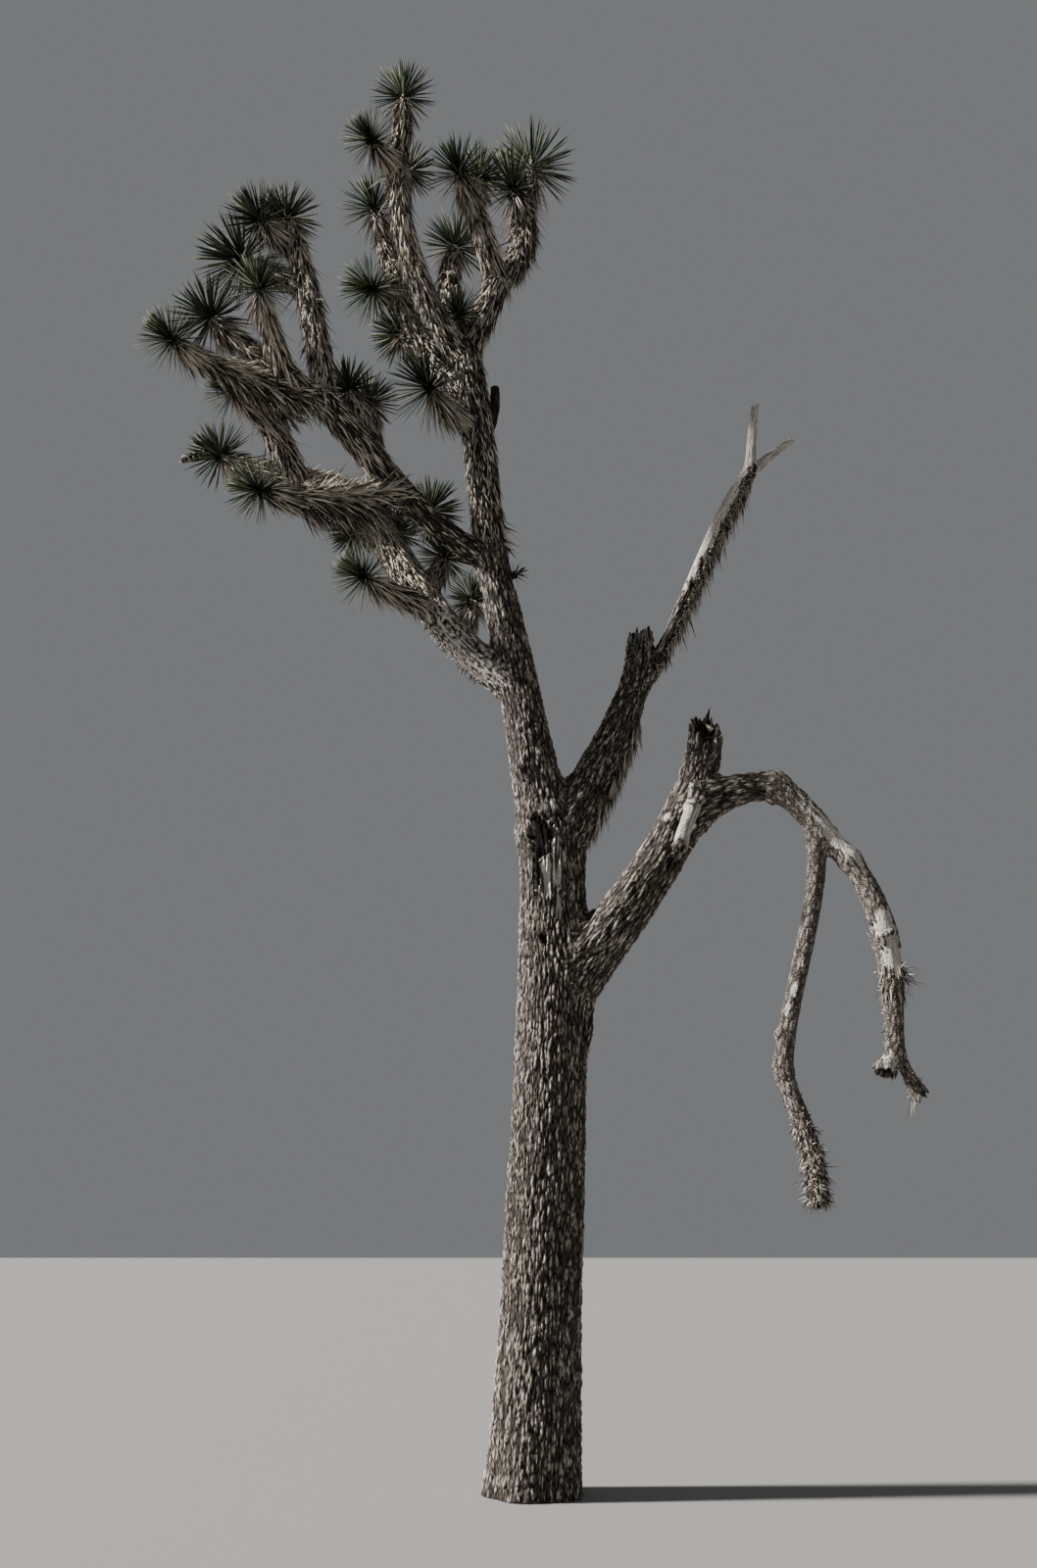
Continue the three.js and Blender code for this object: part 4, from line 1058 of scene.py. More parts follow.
    def build(self) -> bpy.types.Object:
        """Rolls a grid into the limb, gives it its relief, and closes its seam and ends.

        Returns:
            The limb's object.
        """
        limb, spine = self.limb, self.spine
        s, share, lift = self.rows()
        girth = 2 * math.pi * float(np.mean(spine.radius(s)))
        around = max(FEWEST_COLUMNS, round(girth / self.cell))
        skin, row, angle = self.roll(len(s), around)
        s, self.share, self.lift, self.angle = s[row], share[row], lift[row], angle
        self.points, tangent, normal, binormal = spine.frame(s)
        self.outward = turned(normal, binormal, angle)
        radius = spine.radius(s) * limb.core
        if limb.name == TRUNK:
            fade = np.clip(1 - s / FLARE_HEIGHT, 0, 1) ** 2
            radius = radius * (1 + FLARE_DEPTH * fade * (1 + np.cos(FLARE_LOBES * angle)))
        self.grain = np.stack([np.cos(angle) * radius, np.sin(angle) * radius, s], axis=1)
        self.push(radius)
        self.push(self.joined())
        self.push(self.swellings())
        rise, crest = self.relief.heights(self.grain)
        bare, pale, push = self.bared()
        slim = np.clip(radius / FULL_RELIEF_RADIUS, LEAST_RELIEF, 1.0)
        self.push(rise * slim * (1 - BARE_SMOOTHING * bare) + push)
        tip = float(spine.radius(np.array([spine.length]))[0])
        beyond = self.lift * DOME_DEPTH * tip
        if limb.ragged:
            inner = self.share < BREAK_RIM
            wood = np.where(self.share > BREAK_CORE, RING_PALE, CORE_PALE)
            pale = np.where(inner, wood, pale)
            bare = np.maximum(bare, inner)
            slope = (self.outward[:, :2] @ np.array(limb.slant[:2])) * self.share + limb.slant[2]
            beyond = (self.broken_end() * limb.ragged * tip
                      + slope * ease(spine.length - BREAK_SPAN, spine.length, s))
        self.points += tangent * beyond[:, None]
        if limb.name == TRUNK:
            self.points[:, 2] = np.where(row == 0, 0.0, np.maximum(self.points[:, 2], 0.0))
        skin.data.vertices.foreach_set("co", self.points.ravel())
        for name, values in {"grain": self.grain, "crest": crest, "bare": bare, "pale": pale}.items():
            self.store(skin.data, name, values)
        self.close()
        return skin

    @staticmethod
    def store(mesh: bpy.types.Mesh, name: str, values: Array) -> None:
        """Stores a value at each point for the bark's material.

        Args:
            mesh: the skin's mesh.
            name: the value's name.
            values: a number or a row of three for each point.
        """
        kind, key = ("FLOAT_VECTOR", "vector") if values.ndim == 2 else ("FLOAT", "value")
        layer = mesh.attributes.new(name, kind, "POINT")
        layer.data.foreach_set(key, values.ravel().astype(np.float32))

    @staticmethod
    def close() -> None:
        """Welds the seam, closes the ends and turns the faces outwards."""
        bpy.ops.object.mode_set(mode="EDIT")
        bpy.ops.mesh.select_all(action="SELECT")
        bpy.ops.mesh.remove_doubles(threshold=1e-5)
        bpy.ops.mesh.select_all(action="SELECT")
        bpy.ops.mesh.fill_holes(sides=0)
        bpy.ops.mesh.select_all(action="SELECT")
        bpy.ops.mesh.normals_make_consistent(inside=False)
        bpy.ops.object.mode_set(mode="OBJECT")
        bpy.ops.object.shade_smooth()


@dataclass(frozen=True)
class Blade:
    """A leaf modelled once: a three-edged blade with a flat face, a keeled back and a sharp tip.

    Attributes:
        root: its width at the root, as a share of its full width.
        sections: places along it, each with its width.
        keel: the keel's depth as a share of the width.
    """

    root: float = 0.8
    sections: tuple[tuple[float, float], ...] = ((0.3, 1.0), (0.74, 0.72))
    keel: float = 0.3

    def model(self) -> tuple[Array, Array]:
        """Shapes the blade from a cone.

        Returns:
            Its points, one long and one wide, and its triangles.
        """
        deselect_all()
        bpy.ops.mesh.primitive_cone_add(vertices=3, radius1=0.58, radius2=0, depth=1,
                                        location=(0, 0, 0.5))
        spike = bpy.context.object
        bpy.ops.object.transform_apply(location=True)
        bpy.ops.object.mode_set(mode="EDIT")
        for place, _ in self.sections:
            bpy.ops.mesh.select_all(action="SELECT")
            bpy.ops.mesh.bisect(plane_co=(0, 0, place), plane_no=(0, 0, 1))
        bpy.ops.mesh.select_all(action="SELECT")
        bpy.ops.mesh.quads_convert_to_tris()
        bpy.ops.object.mode_set(mode="OBJECT")
        mesh = spike.data
        points = np.array([v.co for v in mesh.vertices])
        widths = np.array([(0.0, self.root), *self.sections, (1.0, 0.0)])
        cone = np.maximum(1 - points[:, 2], 1e-6)
        points[:, :2] *= (np.interp(points[:, 2], widths[:, 0], widths[:, 1]) / cone)[:, None]
        points[:, 1] *= self.keel
        triangles = np.array([p.vertices for p in mesh.polygons])
        bpy.data.objects.remove(spike)
        bpy.data.meshes.remove(mesh)
        return points, triangles


@dataclass
class LeafPile:
    """Leaves of one kind, laid from one modelled leaf and joined into few pieces.

    Attributes:
        name: the pieces' name.
        points: the modelled leaf's points.
        triangles: its triangles.
        tints: the plain colours that the leaves are dealt.
        finishes: a material for each tint.
        corners: the points of the leaves laid so far.
        dealt: their tints, by number.
    """

    name: str
    points: Array
    triangles: Array
    tints: tuple[Tint, ...]
    finishes: dict[Tint, bpy.types.Material]
    corners: list[Array] = field(default_factory=list)
    dealt: list[Array] = field(default_factory=list)

    def lay(self, roots: Array, along: Array, outward: Array, lengths: Array,
            widths: Array, bends: Array, dealt: Array) -> None:
        """Lays leaves at their roots.

        Args:
            roots: where each leaf begins.
            along: the way that each points.
            outward: the way that each flat face looks.
            lengths: each leaf's length.
            widths: each leaf's width.
            bends: how far each tip bends towards its face, as a share of the length.
            dealt: each leaf's tint, by its number.
        """
        across = unit(np.cross(along, outward))
        face = np.cross(across, along)
        x, y, z = self.points.T
        spots = roots[:, None, :] + along[:, None, :] * (z * lengths[:, None])[:, :, None]
        spots = spots + across[:, None, :] * (x * widths[:, None])[:, :, None]
        lift = y * widths[:, None] + (z ** 2) * (bends * lengths)[:, None]
        self.corners.append(spots + face[:, None, :] * lift[:, :, None])
        self.dealt.append(dealt)

    def pieces(self) -> list[bpy.types.Object]:
        """Joins the leaves into pieces that stay under the triangle limit.

        Returns:
            The pieces.
        """
        corners = np.concatenate(self.corners)
        dealt = np.concatenate(self.dealt)
        count = math.ceil(len(corners) / (PIECE_TRIANGLES // len(self.triangles)))
        labels = [f"{self.name}_{k + 1}" for k in range(count)] if count > 1 else [self.name]
        shares = np.array_split(np.arange(len(corners)), count)
        return [self.join(label, corners[share], dealt[share]) for label, share in zip(labels, shares)]

    def join(self, label: str, corners: Array, dealt: Array) -> bpy.types.Object:
        """Makes one mesh of many leaves.

        Args:
            label: the piece's name.
            corners: each leaf's points.
            dealt: each leaf's tint, by its number.

        Returns:
            The piece.
        """
        leaves, each = corners.shape[:2]
        faces = (self.triangles[None] + (np.arange(leaves) * each)[:, None, None]).reshape(-1, 3)
        mesh = bpy.data.meshes.new(label)
        mesh.vertices.add(leaves * each)
        mesh.vertices.foreach_set("co", corners.astype(np.float32).ravel())
        mesh.loops.add(faces.size)
        mesh.loops.foreach_set("vertex_index", faces.astype(np.int32).ravel())
        mesh.polygons.add(len(faces))
        mesh.polygons.foreach_set("loop_start", np.arange(0, faces.size, 3, dtype=np.int32))
        for tint in self.tints:
            mesh.materials.append(self.finishes[tint])
        slots = np.repeat(dealt, len(self.triangles)).astype(np.int32)
        mesh.polygons.foreach_set("material_index", slots)
        mesh.update(calc_edges=True)
        piece = bpy.data.objects.new(label, mesh)
        bpy.context.scene.collection.objects.link(piece)
        return piece


class Sheet:
    """A sheet of shader nodes, with short calls for adding and joining them."""

    def __init__(self, tree: bpy.types.NodeTree) -> None:
        """Takes the tree that the nodes go to."""
        self.tree = tree

    def fill(self, node: bpy.types.Node, inputs: dict[str | int, object]) -> None:
        """Fills a node's inputs.

        Args:
            node: the node.
            inputs: a value for each input, or the socket that it is joined to.
        """
        for key, value in inputs.items():
            target = node.inputs[key]
            if isinstance(value, Socket):
                self.tree.links.new(value, target)
            else:
                target.default_value = (*value, 1.0) if target.type == "RGBA" else value

    def add(self, kind: str, inputs: dict[str | int, object], **settings: object) -> bpy.types.Node:
        """Adds a node.

        Args:
            kind: the node's type.
            inputs: what its inputs are filled with.
            settings: its properties.

        Returns:
            The node.
        """
        node = self.tree.nodes.new(kind)
        for key, value in settings.items():
            setattr(node, key, value)
        self.fill(node, inputs)
        return node

    def attribute(self, name: str, output: str) -> Socket:
        """Reads one of the bark's stored values."""
        return self.add("ShaderNodeAttribute", {}, attribute_name=name).outputs[output]

    def ramp(self, source: Socket, *stops: tuple[float, Triple]) -> Socket:
        """Turns a value into a colour.

        Args:
            source: the value.
            stops: places from 0 to 1, each with its colour.

        Returns:
            The colour.
        """
        ramp = self.add("ShaderNodeValToRGB", {"Fac": source})
        elements = ramp.color_ramp.elements
        while len(elements) < len(stops):
            elements.new(0.5)
        for element, (place, colour) in zip(elements, stops):
            element.position = place
            element.color = (*colour, 1.0)
        return ramp.outputs["Color"]

    def mix(self, amount: object, first: object, second: object, blend: str = "MIX") -> Socket:
        """Mixes two colours by an amount, each of the three given itself or as a socket."""
        inputs = {"Factor": amount, "A": first, "B": second}
        return self.add("ShaderNodeMix", inputs, data_type="RGBA", blend_type=blend).outputs["Result"]

    def calculate(self, operation: str, *values: object) -> Socket:
        """Calculates with numbers or sockets."""
        return self.add("ShaderNodeMath", dict(enumerate(values)), operation=operation).outputs["Value"]

    def scaled(self, source: Socket, share: float, base: object) -> Socket:
        """Scales a value and adds it to another, which is a number or a socket."""
        return self.calculate("MULTIPLY_ADD", source, share, base)

    def smooth(self, source: Socket, low: float, high: float) -> Socket:
        """Rises smoothly from 0 to 1 while a value goes from low to high."""
        inputs = {"Value": source, "From Min": low, "From Max": high}
        return self.add("ShaderNodeMapRange", inputs, interpolation_type="SMOOTHSTEP").outputs["Result"]


class Paint(Sheet):
    """A material's sheet."""

    def __init__(self, name: str, inputs: dict[str | int, object]) -> None:
        """Starts a material.

        Args:
            name: the material's name.
            inputs: what its shader's inputs are filled with.
        """
        self.material = bpy.data.materials.new(name)
        self.material.use_nodes = True
        super().__init__(self.material.node_tree)
        self.shader = self.tree.nodes["Principled BSDF"]
        self.fill(self.shader, inputs)


def weathering_group() -> bpy.types.NodeTree:
    """Makes the shared group of grey weathering: blotches and fine fibre along the grain."""
    sheet = Sheet(bpy.data.node_groups.new("weathering", "ShaderNodeTree"))
    for name, way, kind in (("Grain", "INPUT", "Vector"), ("Fibre", "INPUT", "Float"),
                            ("Patches", "OUTPUT", "Float"), ("Strands", "OUTPUT", "Float")):
        sheet.tree.interface.new_socket(name, in_out=way, socket_type="NodeSocket" + kind)
    inlet = sheet.add("NodeGroupInput", {}).outputs
    squeezed = sheet.add("ShaderNodeMapping", {"Vector": inlet["Grain"], "Scale": (1, 1, FIBRE_STRETCH)})
    blotch = sheet.add("ShaderNodeTexNoise", {"Vector": inlet["Grain"], "Scale": BLOTCHES, "Detail": 5})
    fibre = sheet.add("ShaderNodeTexNoise",
                      {"Vector": squeezed.outputs["Vector"], "Scale": inlet["Fibre"], "Detail": 4})
    sheet.add("NodeGroupOutput", {"Patches": blotch.outputs["Fac"], "Strands": fibre.outputs["Fac"]})
    return sheet.tree


@dataclass(frozen=True)
class BarkFinish:
    """Corky bark that is pale on its plates and near black in its furrows, darker bark deepened with painted
    shade, and bare wood where it is gone.

    Attributes:
        name: the material's name.
        furrow: the colour deep in the furrows: darker bark, with painted shade there.
        side: the colour on the plates' sides.
        top: the colour on the plates' weathered tops.
        wood: the colour of sun-bleached wood.
        rotten_and_shade: the colour of dark wood, also painted shade and painted shadow on a few bared
            patches.
        wood_share: how much of it is bare wood all over.
        scale: how many plates there are to a metre round the limb.
        stretch: a plate's width as a share of its height.
    """

    name: str = "corky_bark"
    furrow: Triple = (0.007, 0.006, 0.005)
    side: Triple = (0.085, 0.074, 0.062)
    top: Triple = (0.560, 0.510, 0.445)
    wood: Triple = (0.720, 0.685, 0.630)
    rotten_and_shade: Triple = (0.030, 0.024, 0.019)
    wood_share: float = 0.0
    scale: float = 62.0
    stretch: float = 0.23

    def material(self, weathering: bpy.types.NodeTree) -> bpy.types.Material:
        """Makes the material.

        Args:
            weathering: the shared weathering group.

        Returns:
            The material.
        """
        sheet = Paint(self.name, {"Roughness": 0.92, "Specular IOR Level": 0.2})
        grain = sheet.attribute("grain", "Vector")
        fine, coarse = (sheet.add("ShaderNodeGroup", {}, node_tree=weathering) for _ in range(2))
        sheet.fill(fine, {"Grain": grain, "Fibre": FINE_FIBRES})
        sheet.fill(coarse, {"Grain": grain, "Fibre": COARSE_FIBRES})
        strands = fine.outputs["Strands"]
        height = self.height(sheet, grain, strands)
        # The colour follows the relief: near black in the furrows, partly painted shade, through the plates'
        # sides to their pale weathered tops
        bark = sheet.ramp(height, (0.2, self.furrow), (0.52, self.side), (0.9, self.top))
        worn = sheet.ramp(fine.outputs["Patches"], (0.35, (0.86, 0.85, 0.83)), (0.65, (1.0, 0.99, 0.98)))
        bark = sheet.mix(0.75, bark, worn, "MULTIPLY")
        pale = sheet.attribute("pale", "Fac")
        splits = sheet.ramp(coarse.outputs["Strands"], (0.46, (0.05, 0.042, 0.034)), (0.54, WHITE))
        fibres = sheet.ramp(strands, (0.4, (0.34, 0.31, 0.28)), (0.55, WHITE))
        # Low paleness gives dark wood, which on a few patches is painted shade and painted shadow
        wood = sheet.mix(pale, self.rotten_and_shade, self.wood)
        wood = sheet.mix(sheet.scaled(pale, -4.4, 4.7), wood, splits, "MULTIPLY")
        wood = sheet.mix(0.5, wood, fibres, "MULTIPLY")
        bare = sheet.smooth(sheet.scaled(strands, 0.6, sheet.attribute("bare", "Fac")), 0.7, 0.9)
        if self.wood_share:
            bare = sheet.calculate("MAXIMUM", bare, self.wood_share)
        sheet.fill(sheet.shader, {"Base Color": sheet.mix(bare, bark, wood),
                                  "Normal": self.emboss(sheet, height, strands)})
        return sheet.material

    def height(self, sheet: Sheet, grain: Socket, strands: Socket) -> Socket:
        """Joins the mesh's own relief with finer cracks and fibre.

        Args:
            sheet: the material's sheet.
            grain: the place on the straightened limb.
            strands: the fibre.

        Returns:
            The height, from 0 to 1.
        """
        squeezed = sheet.add("ShaderNodeMapping", {"Vector": grain, "Scale": (1, 1, self.stretch)})
        plates = sheet.add("ShaderNodeTexVoronoi",
                           {"Vector": squeezed.outputs["Vector"], "Scale": self.scale},
                           feature="DISTANCE_TO_EDGE")
        cracks = sheet.scaled(sheet.smooth(plates.outputs["Distance"], 0.0, 0.2), 0.3, -0.12)
        return sheet.scaled(strands, 0.5, sheet.scaled(sheet.attribute("crest", "Fac"), 0.5, cracks))

    @staticmethod
    def emboss(sheet: Sheet, height: Socket, strands: Socket) -> Socket:
        """Raises the plates, the cracks and the fibre in the shading."""
        bump = sheet.add("ShaderNodeBump", {"Strength": 1.0, "Distance": 0.012, "Height": height})
        return sheet.add("ShaderNodeBump", {"Strength": 0.6, "Distance": 0.003, "Height": strands,
                                            "Normal": bump.outputs["Normal"]}).outputs["Normal"]


def leaf_finish(tint: Tint) -> bpy.types.Material:
    """Makes a leaf's material: one plain colour, half gloss on living leaves and dull on dead ones."""
    rough, gloss = (0.65, 0.12) if tint in LIVING_TINTS else (0.85, 0.1)
    inputs = {"Base Color": tint.value, "Roughness": rough, "Specular IOR Level": gloss}
    return Paint("leaf_" + tint.name.lower(), inputs).material


@dataclass(frozen=True)
class Covering:
    """One kind of skin: its finish, its relief, and the distance between its points."""

    finish: BarkFinish
    relief: Relief
    cell: float


COVERINGS = {
    Skin.BARK: Covering(BarkFinish(), Relief(), 0.0078),
    Skin.CRACKED: Covering(
        BarkFinish("cracked_bark", (0.024, 0.021, 0.018), (0.155, 0.138, 0.118), (0.400, 0.366, 0.322),
                   scale=50.0, stretch=1.6),
        Relief(plate=0.028, tall=0.022, furrow=0.07, depth=0.007, ridge=0.009), 0.0062),
    # The stem under the thatch is near black: painted shade in the gaps between the dead leaves
    Skin.THATCH: Covering(
        BarkFinish("thatch_stem", side=(0.024, 0.020, 0.016), top=(0.070, 0.059, 0.048)),
        Relief(plate=0.02, tall=0.03, furrow=0.1, depth=0.008, ridge=0.006), 0.018),
    Skin.WOOD: Covering(
        BarkFinish("bare_wood", wood=(0.64, 0.6, 0.55), wood_share=0.94),
        Relief(plate=0.016, tall=0.2, furrow=0.4, depth=0.004, ridge=0.008), 0.006),
}


@dataclass(frozen=True)
class Habit:
    """How leaves of one kind differ from one another.

    Attributes:
        stray: how far they stray round the stem, in radians.
        lengths: their least and greatest share of the full length.
        widths: their least and greatest share of the full width.
        curl: their mean curl, and how much it varies.
        tints: how often each tint is dealt, where that isn't given by a stretch of thatch.
    """

    stray: float
    lengths: tuple[float, float]
    widths: tuple[float, float]
    curl: tuple[float, float]
    tints: tuple[float, ...] = ()


LIVING_HABIT = Habit(0.12, (0.85, 1.0), (0.8, 1.1), (-0.015, 0.025), (0.2, 0.4, 0.4))
SKIRT_HABIT = Habit(0.2, (0.6, 0.92), (0.7, 1.1), (-0.06, 0.05), (0.4, 0.22, 0.16, 0.22))
THATCH_HABIT = Habit(0.2, (0.55, 1.15), (0.65, 1.25), (0.0, 0.04))


class Foliage:
    """The tree's leaves and splinters, laid with seeded numbers in a pile of each kind."""

    def __init__(self) -> None:
        """Models the leaves and starts their piles."""
        self.rng = np.random.default_rng(SEED)
        finishes = {tint: leaf_finish(tint) for tint in Tint}
        self.living = LeafPile("living_leaves", *Blade().model(), LIVING_TINTS, finishes)
        dry, spike = Blade(0.9, ((0.45, 1.0),), 0.22), Blade(1.0, ((0.5, 0.6),), 0.5)
        self.dead = LeafPile("dead_leaves", *dry.model(), DRY_TINTS, finishes)
        self.spikes = LeafPile("splinters", *spike.model(), DRY_TINTS, finishes)

    def thatch(self, thatch: Thatch, spine: Spine, core: float) -> None:
        """Covers a stretch of limb with dead leaves that point back towards its foot.

        Args:
            thatch: the stretch.
            spine: the limb's middle line.
            core: the share of the girth that is stem.
        """
        rng, habit = self.rng, THATCH_HABIT
        start, end = spine.distance(thatch.start), spine.distance(thatch.end)
        count = max(4, round((end - start) * thatch.density))
        s = start + (end - start) * (np.arange(count) + rng.random(count)) / count
        turn = np.arange(count) * GOLDEN_ANGLE + rng.normal(0, habit.stray, count)
        centre, tangent, normal, binormal = spine.frame(s)
        if thatch.facing is not None:
            facing = np.array(thatch.facing)
            middle = np.arctan2(binormal @ facing, normal @ facing)
            turn = middle + rng.uniform(-thatch.spread, thatch.spread, count)
        outward = turned(normal, binormal, turn)
        lift = np.abs(rng.normal(thatch.lift, thatch.lift * LIFT_SPREAD, count))
        stray = rng.normal(0, SIDE_SPREAD + thatch.tangle, count)[:, None]
        sideways = np.cross(tangent, outward) * stray
        along = turned(-tangent, outward, lift) + sideways
        along = along + rng.normal(0, 1, (count, 3)) * thatch.tangle
        under = np.clip(-outward[:, 2], 0, 1) + LEAST_HANG
        along = unit(along - UP * (thatch.hang * under * rng.uniform(0.3, 1.0, count))[:, None])
        roots = centre + outward * (spine.radius(s) * core * ROOT_SHARE)[:, None]
        lengths = thatch.leaf * rng.uniform(*habit.lengths, count)
        widths = thatch.width * rng.uniform(*habit.widths, count)
        tint = rng.choice(len(DRY_TINTS), count, p=thatch.tints)
        twist = rng.normal(0, TWIST_SPREAD + thatch.tangle, count)[:, None]
        face = unit(outward + np.cross(tangent, outward) * twist)
        self.dead.lay(roots, along, face, lengths, widths, rng.normal(*habit.curl, count), tint)

    def splinters(self, spines: dict[str, Spine]) -> None:
        """Stands the spikes of wood on the broken ends.

        Args:
            spines: the limbs' middle lines.
        """
        for splinter in SPLINTERS:
            spine = spines[splinter.on]
            s = np.array([spine.length])
            centre, tangent, _, _ = spine.frame(s)
            side = np.array(splinter.side, float)
            side = side - tangent[0] * (side @ tangent[0])
            rim = centre + side * float(spine.radius(s)[0]) * SPLINTER_RIM
            root = rim - tangent * SPLINTER_DEPTH
            along = unit(tangent + np.array(splinter.lean))
            size = np.array([splinter.length]), np.array([splinter.width])
            tint = np.array([DRY_TINTS.index(splinter.tint)])
            self.spikes.lay(root, along, unit(side)[None], *size, np.zeros(1), tint)


@dataclass
class Rosette:
    """A rosette of stiff living leaves over a skirt of dead ones.

    Attributes:
        spine: its stem's middle line.
        aim: the way that it faces.
        leaf: the length of its leaves.
        living: how many living leaves it has.
        skirt: how many dead ones.
    """

    spine: Spine
    aim: Array
    leaf: float
    living: int = 125
    skirt: int = 170

    def fan(self, rng: np.random.Generator, share: Array, opening: Triple,
            scatter: float) -> tuple[Array, Array, Array]:
        """Fans leaves out on a golden-angle spiral.

        Args:
            rng: the seeded numbers.
            share: how far out in the fan each leaf is, from 0 to 1.
            opening: the least angle from the axis, how much more the outermost has, and the
                curve between.
            scatter: how far the leaves stray round the axis, in radians.

        Returns:
            Each leaf's angle from the axis, its direction, and the direction straight out from
            the axis.
        """
        least, more, power = opening
        polar = least + more * share ** power + rng.normal(0, FAN_SPREAD, len(share))
        turn = np.arange(len(share)) * GOLDEN_ANGLE + rng.normal(0, scatter, len(share))
        side = unit(np.cross([1.0, 0.0, 0.0], self.aim))
        outward = turned(side, np.cross(self.aim, side), turn)
        return polar, turned(self.aim, outward, polar), outward

    def grow(self, foliage: Foliage) -> None:
        """Lays the living leaves, and the skirt below them.

        Args:
            foliage: the piles that the leaves go to.
        """
        rng, count, habit = foliage.rng, self.living, LIVING_HABIT
        share = (np.arange(count) + 0.5) / count
        polar, along, outward = self.fan(rng, share, LIVING_FAN, habit.stray)
        full = self.leaf * (INNER_LENGTH + OUTER_GAIN * ease(0.1, 0.9, polar))
        lengths = full * rng.uniform(*habit.lengths, count)
        rise = (ROOT_RISE * (1 - share) - ROOT_SINK)[:, None]
        roots = self.spine.points[-1] + along * ROOT_OUT + self.aim * rise
        face = unit(self.aim + outward * FACE_OUT - along * (along @ self.aim)[:, None])
        dealt = rng.choice(len(LIVING_TINTS), count, p=habit.tints)
        tint = np.where(share < YOUNG_SHARE, 0, dealt)
        girth = LEAST_WIDTH + WIDTH_GAIN * self.leaf / FULL_LEAF
        widths = LIVING_WIDTH * rng.uniform(*habit.widths, count) * girth
        curl = rng.normal(*habit.curl, count)
        foliage.living.lay(roots, along, face, lengths, widths, curl, tint)
        self.grow_skirt(foliage)

    def grow_skirt(self, foliage: Foliage) -> None:
        """Lays the dead leaves that fold back below the neck.

        Args:
            foliage: the piles that the leaves go to.
        """
        rng, count, habit = foliage.rng, self.skirt, SKIRT_HABIT
        share = rng.random(count)
        _, along, outward = self.fan(rng, share, SKIRT_FAN, habit.stray)
        along = unit(along - UP * rng.uniform(0.0, SKIRT_HANG, count)[:, None])
        lengths = self.leaf * rng.uniform(*habit.lengths, count)
        below = self.spine.length - ROOT_SINK - SKIRT_DEPTH * share
        roots = self.spine.frame(below)[0] + outward * SKIRT_OUT
        tint = rng.choice(len(DRY_TINTS), count, p=habit.tints)
        widths = SKIRT_WIDTH * rng.uniform(*habit.widths, count)
        curl = rng.normal(*habit.curl, count)
        foliage.dead.lay(roots, along, outward, lengths, widths, curl, tint)


@dataclass
class Studio:
    """The pale floor, the soft lights and the photograph's camera."""

    floor_size: float = 120.0
    floor_drop: float = 0.002
    floor_colour: Triple = (0.25, 0.247, 0.24)
    sky_colour: Triple = (0.80, 0.81, 0.83)
    sky_strength: float = 0.23
    key_way: Triple = (0.84, 0.06, -0.52)
    key_strength: float = 11.5
    key_colour: Triple = (1.0, 0.97, 0.93)
    key_spread: float = math.radians(5)

    def build(self) -> None:
        """Lays the floor and sets the lights and the camera."""
        self.lay_floor()
        self.light()
        self.place_camera()

    def lay_floor(self) -> None:
        """Lays the plain floor under the tree."""
        deselect_all()
        bpy.ops.mesh.primitive_plane_add(size=self.floor_size,
                                         location=(0, 0, -self.floor_drop))
        floor = bpy.context.object
        floor.name = "floor"
        bpy.ops.object.transform_apply(location=True)
        paint = Paint("pale_floor", {"Base Color": self.floor_colour, "Roughness": 0.9})
        floor.data.materials.append(paint.material)

    def light(self) -> None:
        """Sets the key light from the upper left and an even sky."""
        sun = bpy.data.lights.new("key", "SUN")
        sun.energy = self.key_strength
        sun.angle = self.key_spread
        sun.color = self.key_colour
        key = bpy.data.objects.new("key", sun)
        bpy.context.scene.collection.objects.link(key)
        way = np.array(self.key_way)
        lean = math.acos(-way[2] / np.linalg.norm(way))
        key.rotation_euler = (lean, 0, math.atan2(-way[0], way[1]))
        world = bpy.data.worlds.new("studio")
        world.use_nodes = True
        background = world.node_tree.nodes["Background"]
        inputs = {"Color": self.sky_colour, "Strength": self.sky_strength}
        Sheet(world.node_tree).fill(background, inputs)
        bpy.context.scene.world = world

    def place_camera(self) -> None:
        """Puts the camera where the photograph was taken."""
        camera = bpy.data.cameras.new("camera")
        camera.lens = LENS
        camera.sensor_width = FILM
        camera.clip_end = 500
        holder = bpy.data.objects.new("camera", camera)
        holder.location = EYE
        holder.rotation_euler = (math.pi / 2 + TILT, 0, 0)
        bpy.context.scene.collection.objects.link(holder)
        bpy.context.scene.camera = holder


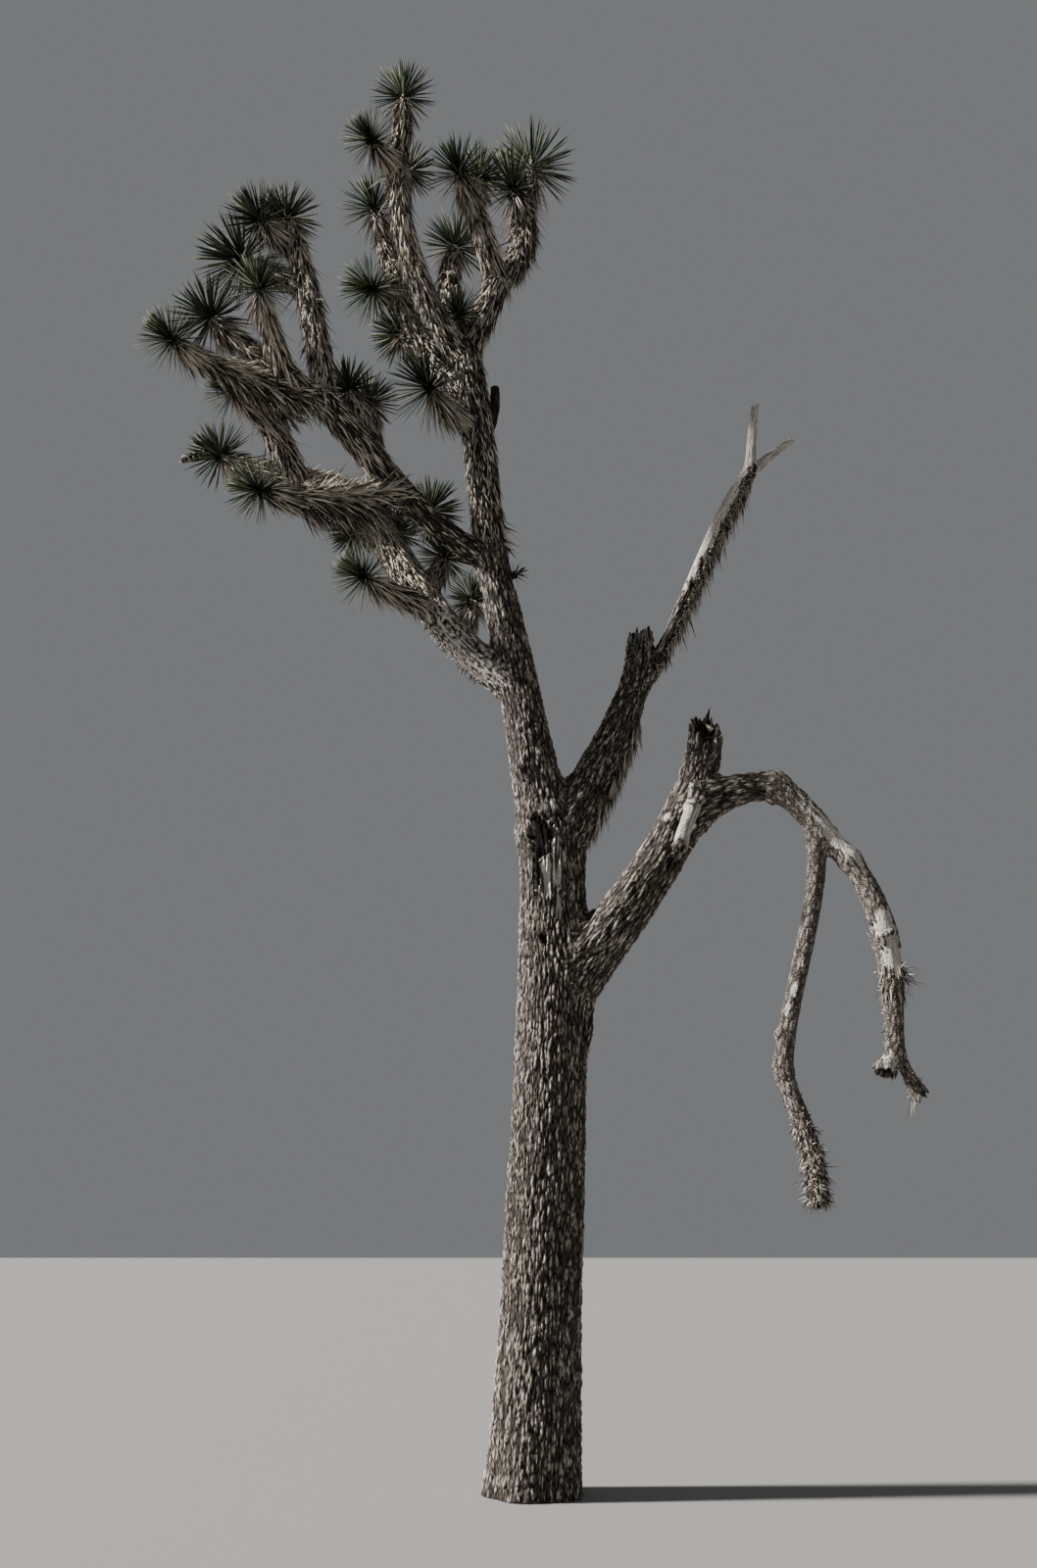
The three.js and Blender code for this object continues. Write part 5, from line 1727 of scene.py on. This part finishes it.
@dataclass
class Tree:
    """The whole tree: its limbs' skins, its thatch, and its rosettes.

    Attributes:
        spines: the limbs' middle lines.
        finishes: a material for each kind of skin.
        foliage: its leaves.
    """

    spines: dict[str, Spine] = field(default_factory=all_spines)
    finishes: dict[Skin, bpy.types.Material] = field(init=False)
    foliage: Foliage = field(init=False)

    def joins(self, limb: Limb) -> list[tuple[Spine, float, float]]:
        """Lists the limbs that a limb joins, with the share that is stem and how widely they merge."""
        found = [other for other in LIMBS if other.on == limb.name or other.name == limb.on or (
            limb.on and other.on == limb.on and other is not limb and abs(other.at - limb.at) < BESIDE)]
        return [(self.spines[other.name], other.core, min(limb.merge, other.merge))
                for other in found]

    def add_skin(self, skin: BarkSkin, node: str) -> None:
        """Builds a skin and lets it stand for a node.

        Args:
            skin: the skin.
            node: the node that it replaces.
        """
        piece = skin.build()
        piece.data.materials.append(self.finishes[skin.limb.skin])
        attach(piece, "root")
        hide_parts(node)
        LOG.info("%s: %d faces", piece.name, len(piece.data.polygons))

    def build_limbs(self) -> None:
        """Builds each limb's skin and lets it stand for its node."""
        weathering = weathering_group()
        self.finishes = {skin: covering.finish.material(weathering)
                         for skin, covering in COVERINGS.items()}
        patches = [Patch.placed(kind, self.spines[kind.on]) for kind in BARED]
        for limb in LIMBS:
            near = [] if limb.skin is Skin.THATCH else self.joins(limb)
            covering = COVERINGS[limb.skin]
            cell = TRUNK_CELL if limb.name == TRUNK else covering.cell
            skin = BarkSkin(limb, self.spines[limb.name], covering.relief, cell, near, patches)
            self.add_skin(skin, limb.name)

    def build_foliage(self) -> None:
        """Builds the rosettes, their stems, all the thatch and the splinters."""
        self.foliage = Foliage()
        for mass in MASSES:
            for number, neck in enumerate(mass.necks):
                self.build_rosette(mass, neck, number)
        cores = {limb.name: limb.core for limb in LIMBS}
        for thatch in THATCHES:
            self.foliage.thatch(thatch, self.spines[thatch.on], cores[thatch.on])
        self.foliage.splinters(self.spines)
        for pile in (self.foliage.living, self.foliage.dead, self.foliage.spikes):
            leaves = pile is not self.foliage.spikes
            for piece in pile.pieces():
                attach(piece, "root")
                if leaves:
                    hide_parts(*[mass.name for mass in MASSES])
                LOG.info("%s: %d faces", piece.name, len(piece.data.polygons))

    def add_stem(self, mass: Mass, name: str, spine: Spine, core: float, cell: float) -> None:
        """Builds the skin of a stem, which stands for a mass together with the leaves."""
        stem = Limb(name, mass.on, mass.at, mass.necks[0].reach, spine.girths, skin=Skin.THATCH, core=core)
        self.add_skin(BarkSkin(stem, spine, COVERINGS[Skin.THATCH].relief, cell), mass.name)

    def build_rosette(self, mass: Mass, neck: Neck, number: int) -> None:
        """Builds one rosette with its thatched stem.

        Args:
            mass: the mass that it belongs to.
            neck: its neck.
            number: its number in the mass.
        """
        spine, aim = stem_spine(mass, neck, self.spines)
        self.add_stem(mass, f"{mass.name}_stem_{number + 1}", spine, STEM_CORE, STEM_CELL)
        if mass.name in STALKS:
            self.build_stalk(mass, spine.points[-1])
        if mass.name in SPROUTS:
            Rosette(spine, aim, neck.leaf, *SPROUT_LEAVES).grow(self.foliage)
            return
        Rosette(spine, aim, neck.leaf).grow(self.foliage)
        for thatch in STEM_THATCHES:
            self.foliage.thatch(thatch, spine, STEM_CORE)

    def build_stalk(self, mass: Mass, foot: Array) -> None:
        """Builds a dry flower stalk with its scales.

        Args:
            mass: the mass that it belongs to.
            foot: where it begins.
        """
        t = np.linspace(0, 1, STALK_STATIONS)[:, None]
        points = foot + np.array(STALKS[mass.name]) * t + UP * STALK_BOW * 4 * t * (1 - t)
        spine = Spine(points, STALK_GIRTHS)
        self.add_stem(mass, "flower_stalk", spine, 1.0, STALK_CELL)
        self.foliage.thatch(STALK_SCALES, spine, 1.0)


def main() -> None:
    """Builds the studio and the tree in order."""
    logging.basicConfig(level=logging.INFO, format="%(name)s: %(message)s")
    Studio().build()
    tree = Tree()
    tree.build_limbs()
    tree.build_foliage()


if __name__ == "__main__":
    main()
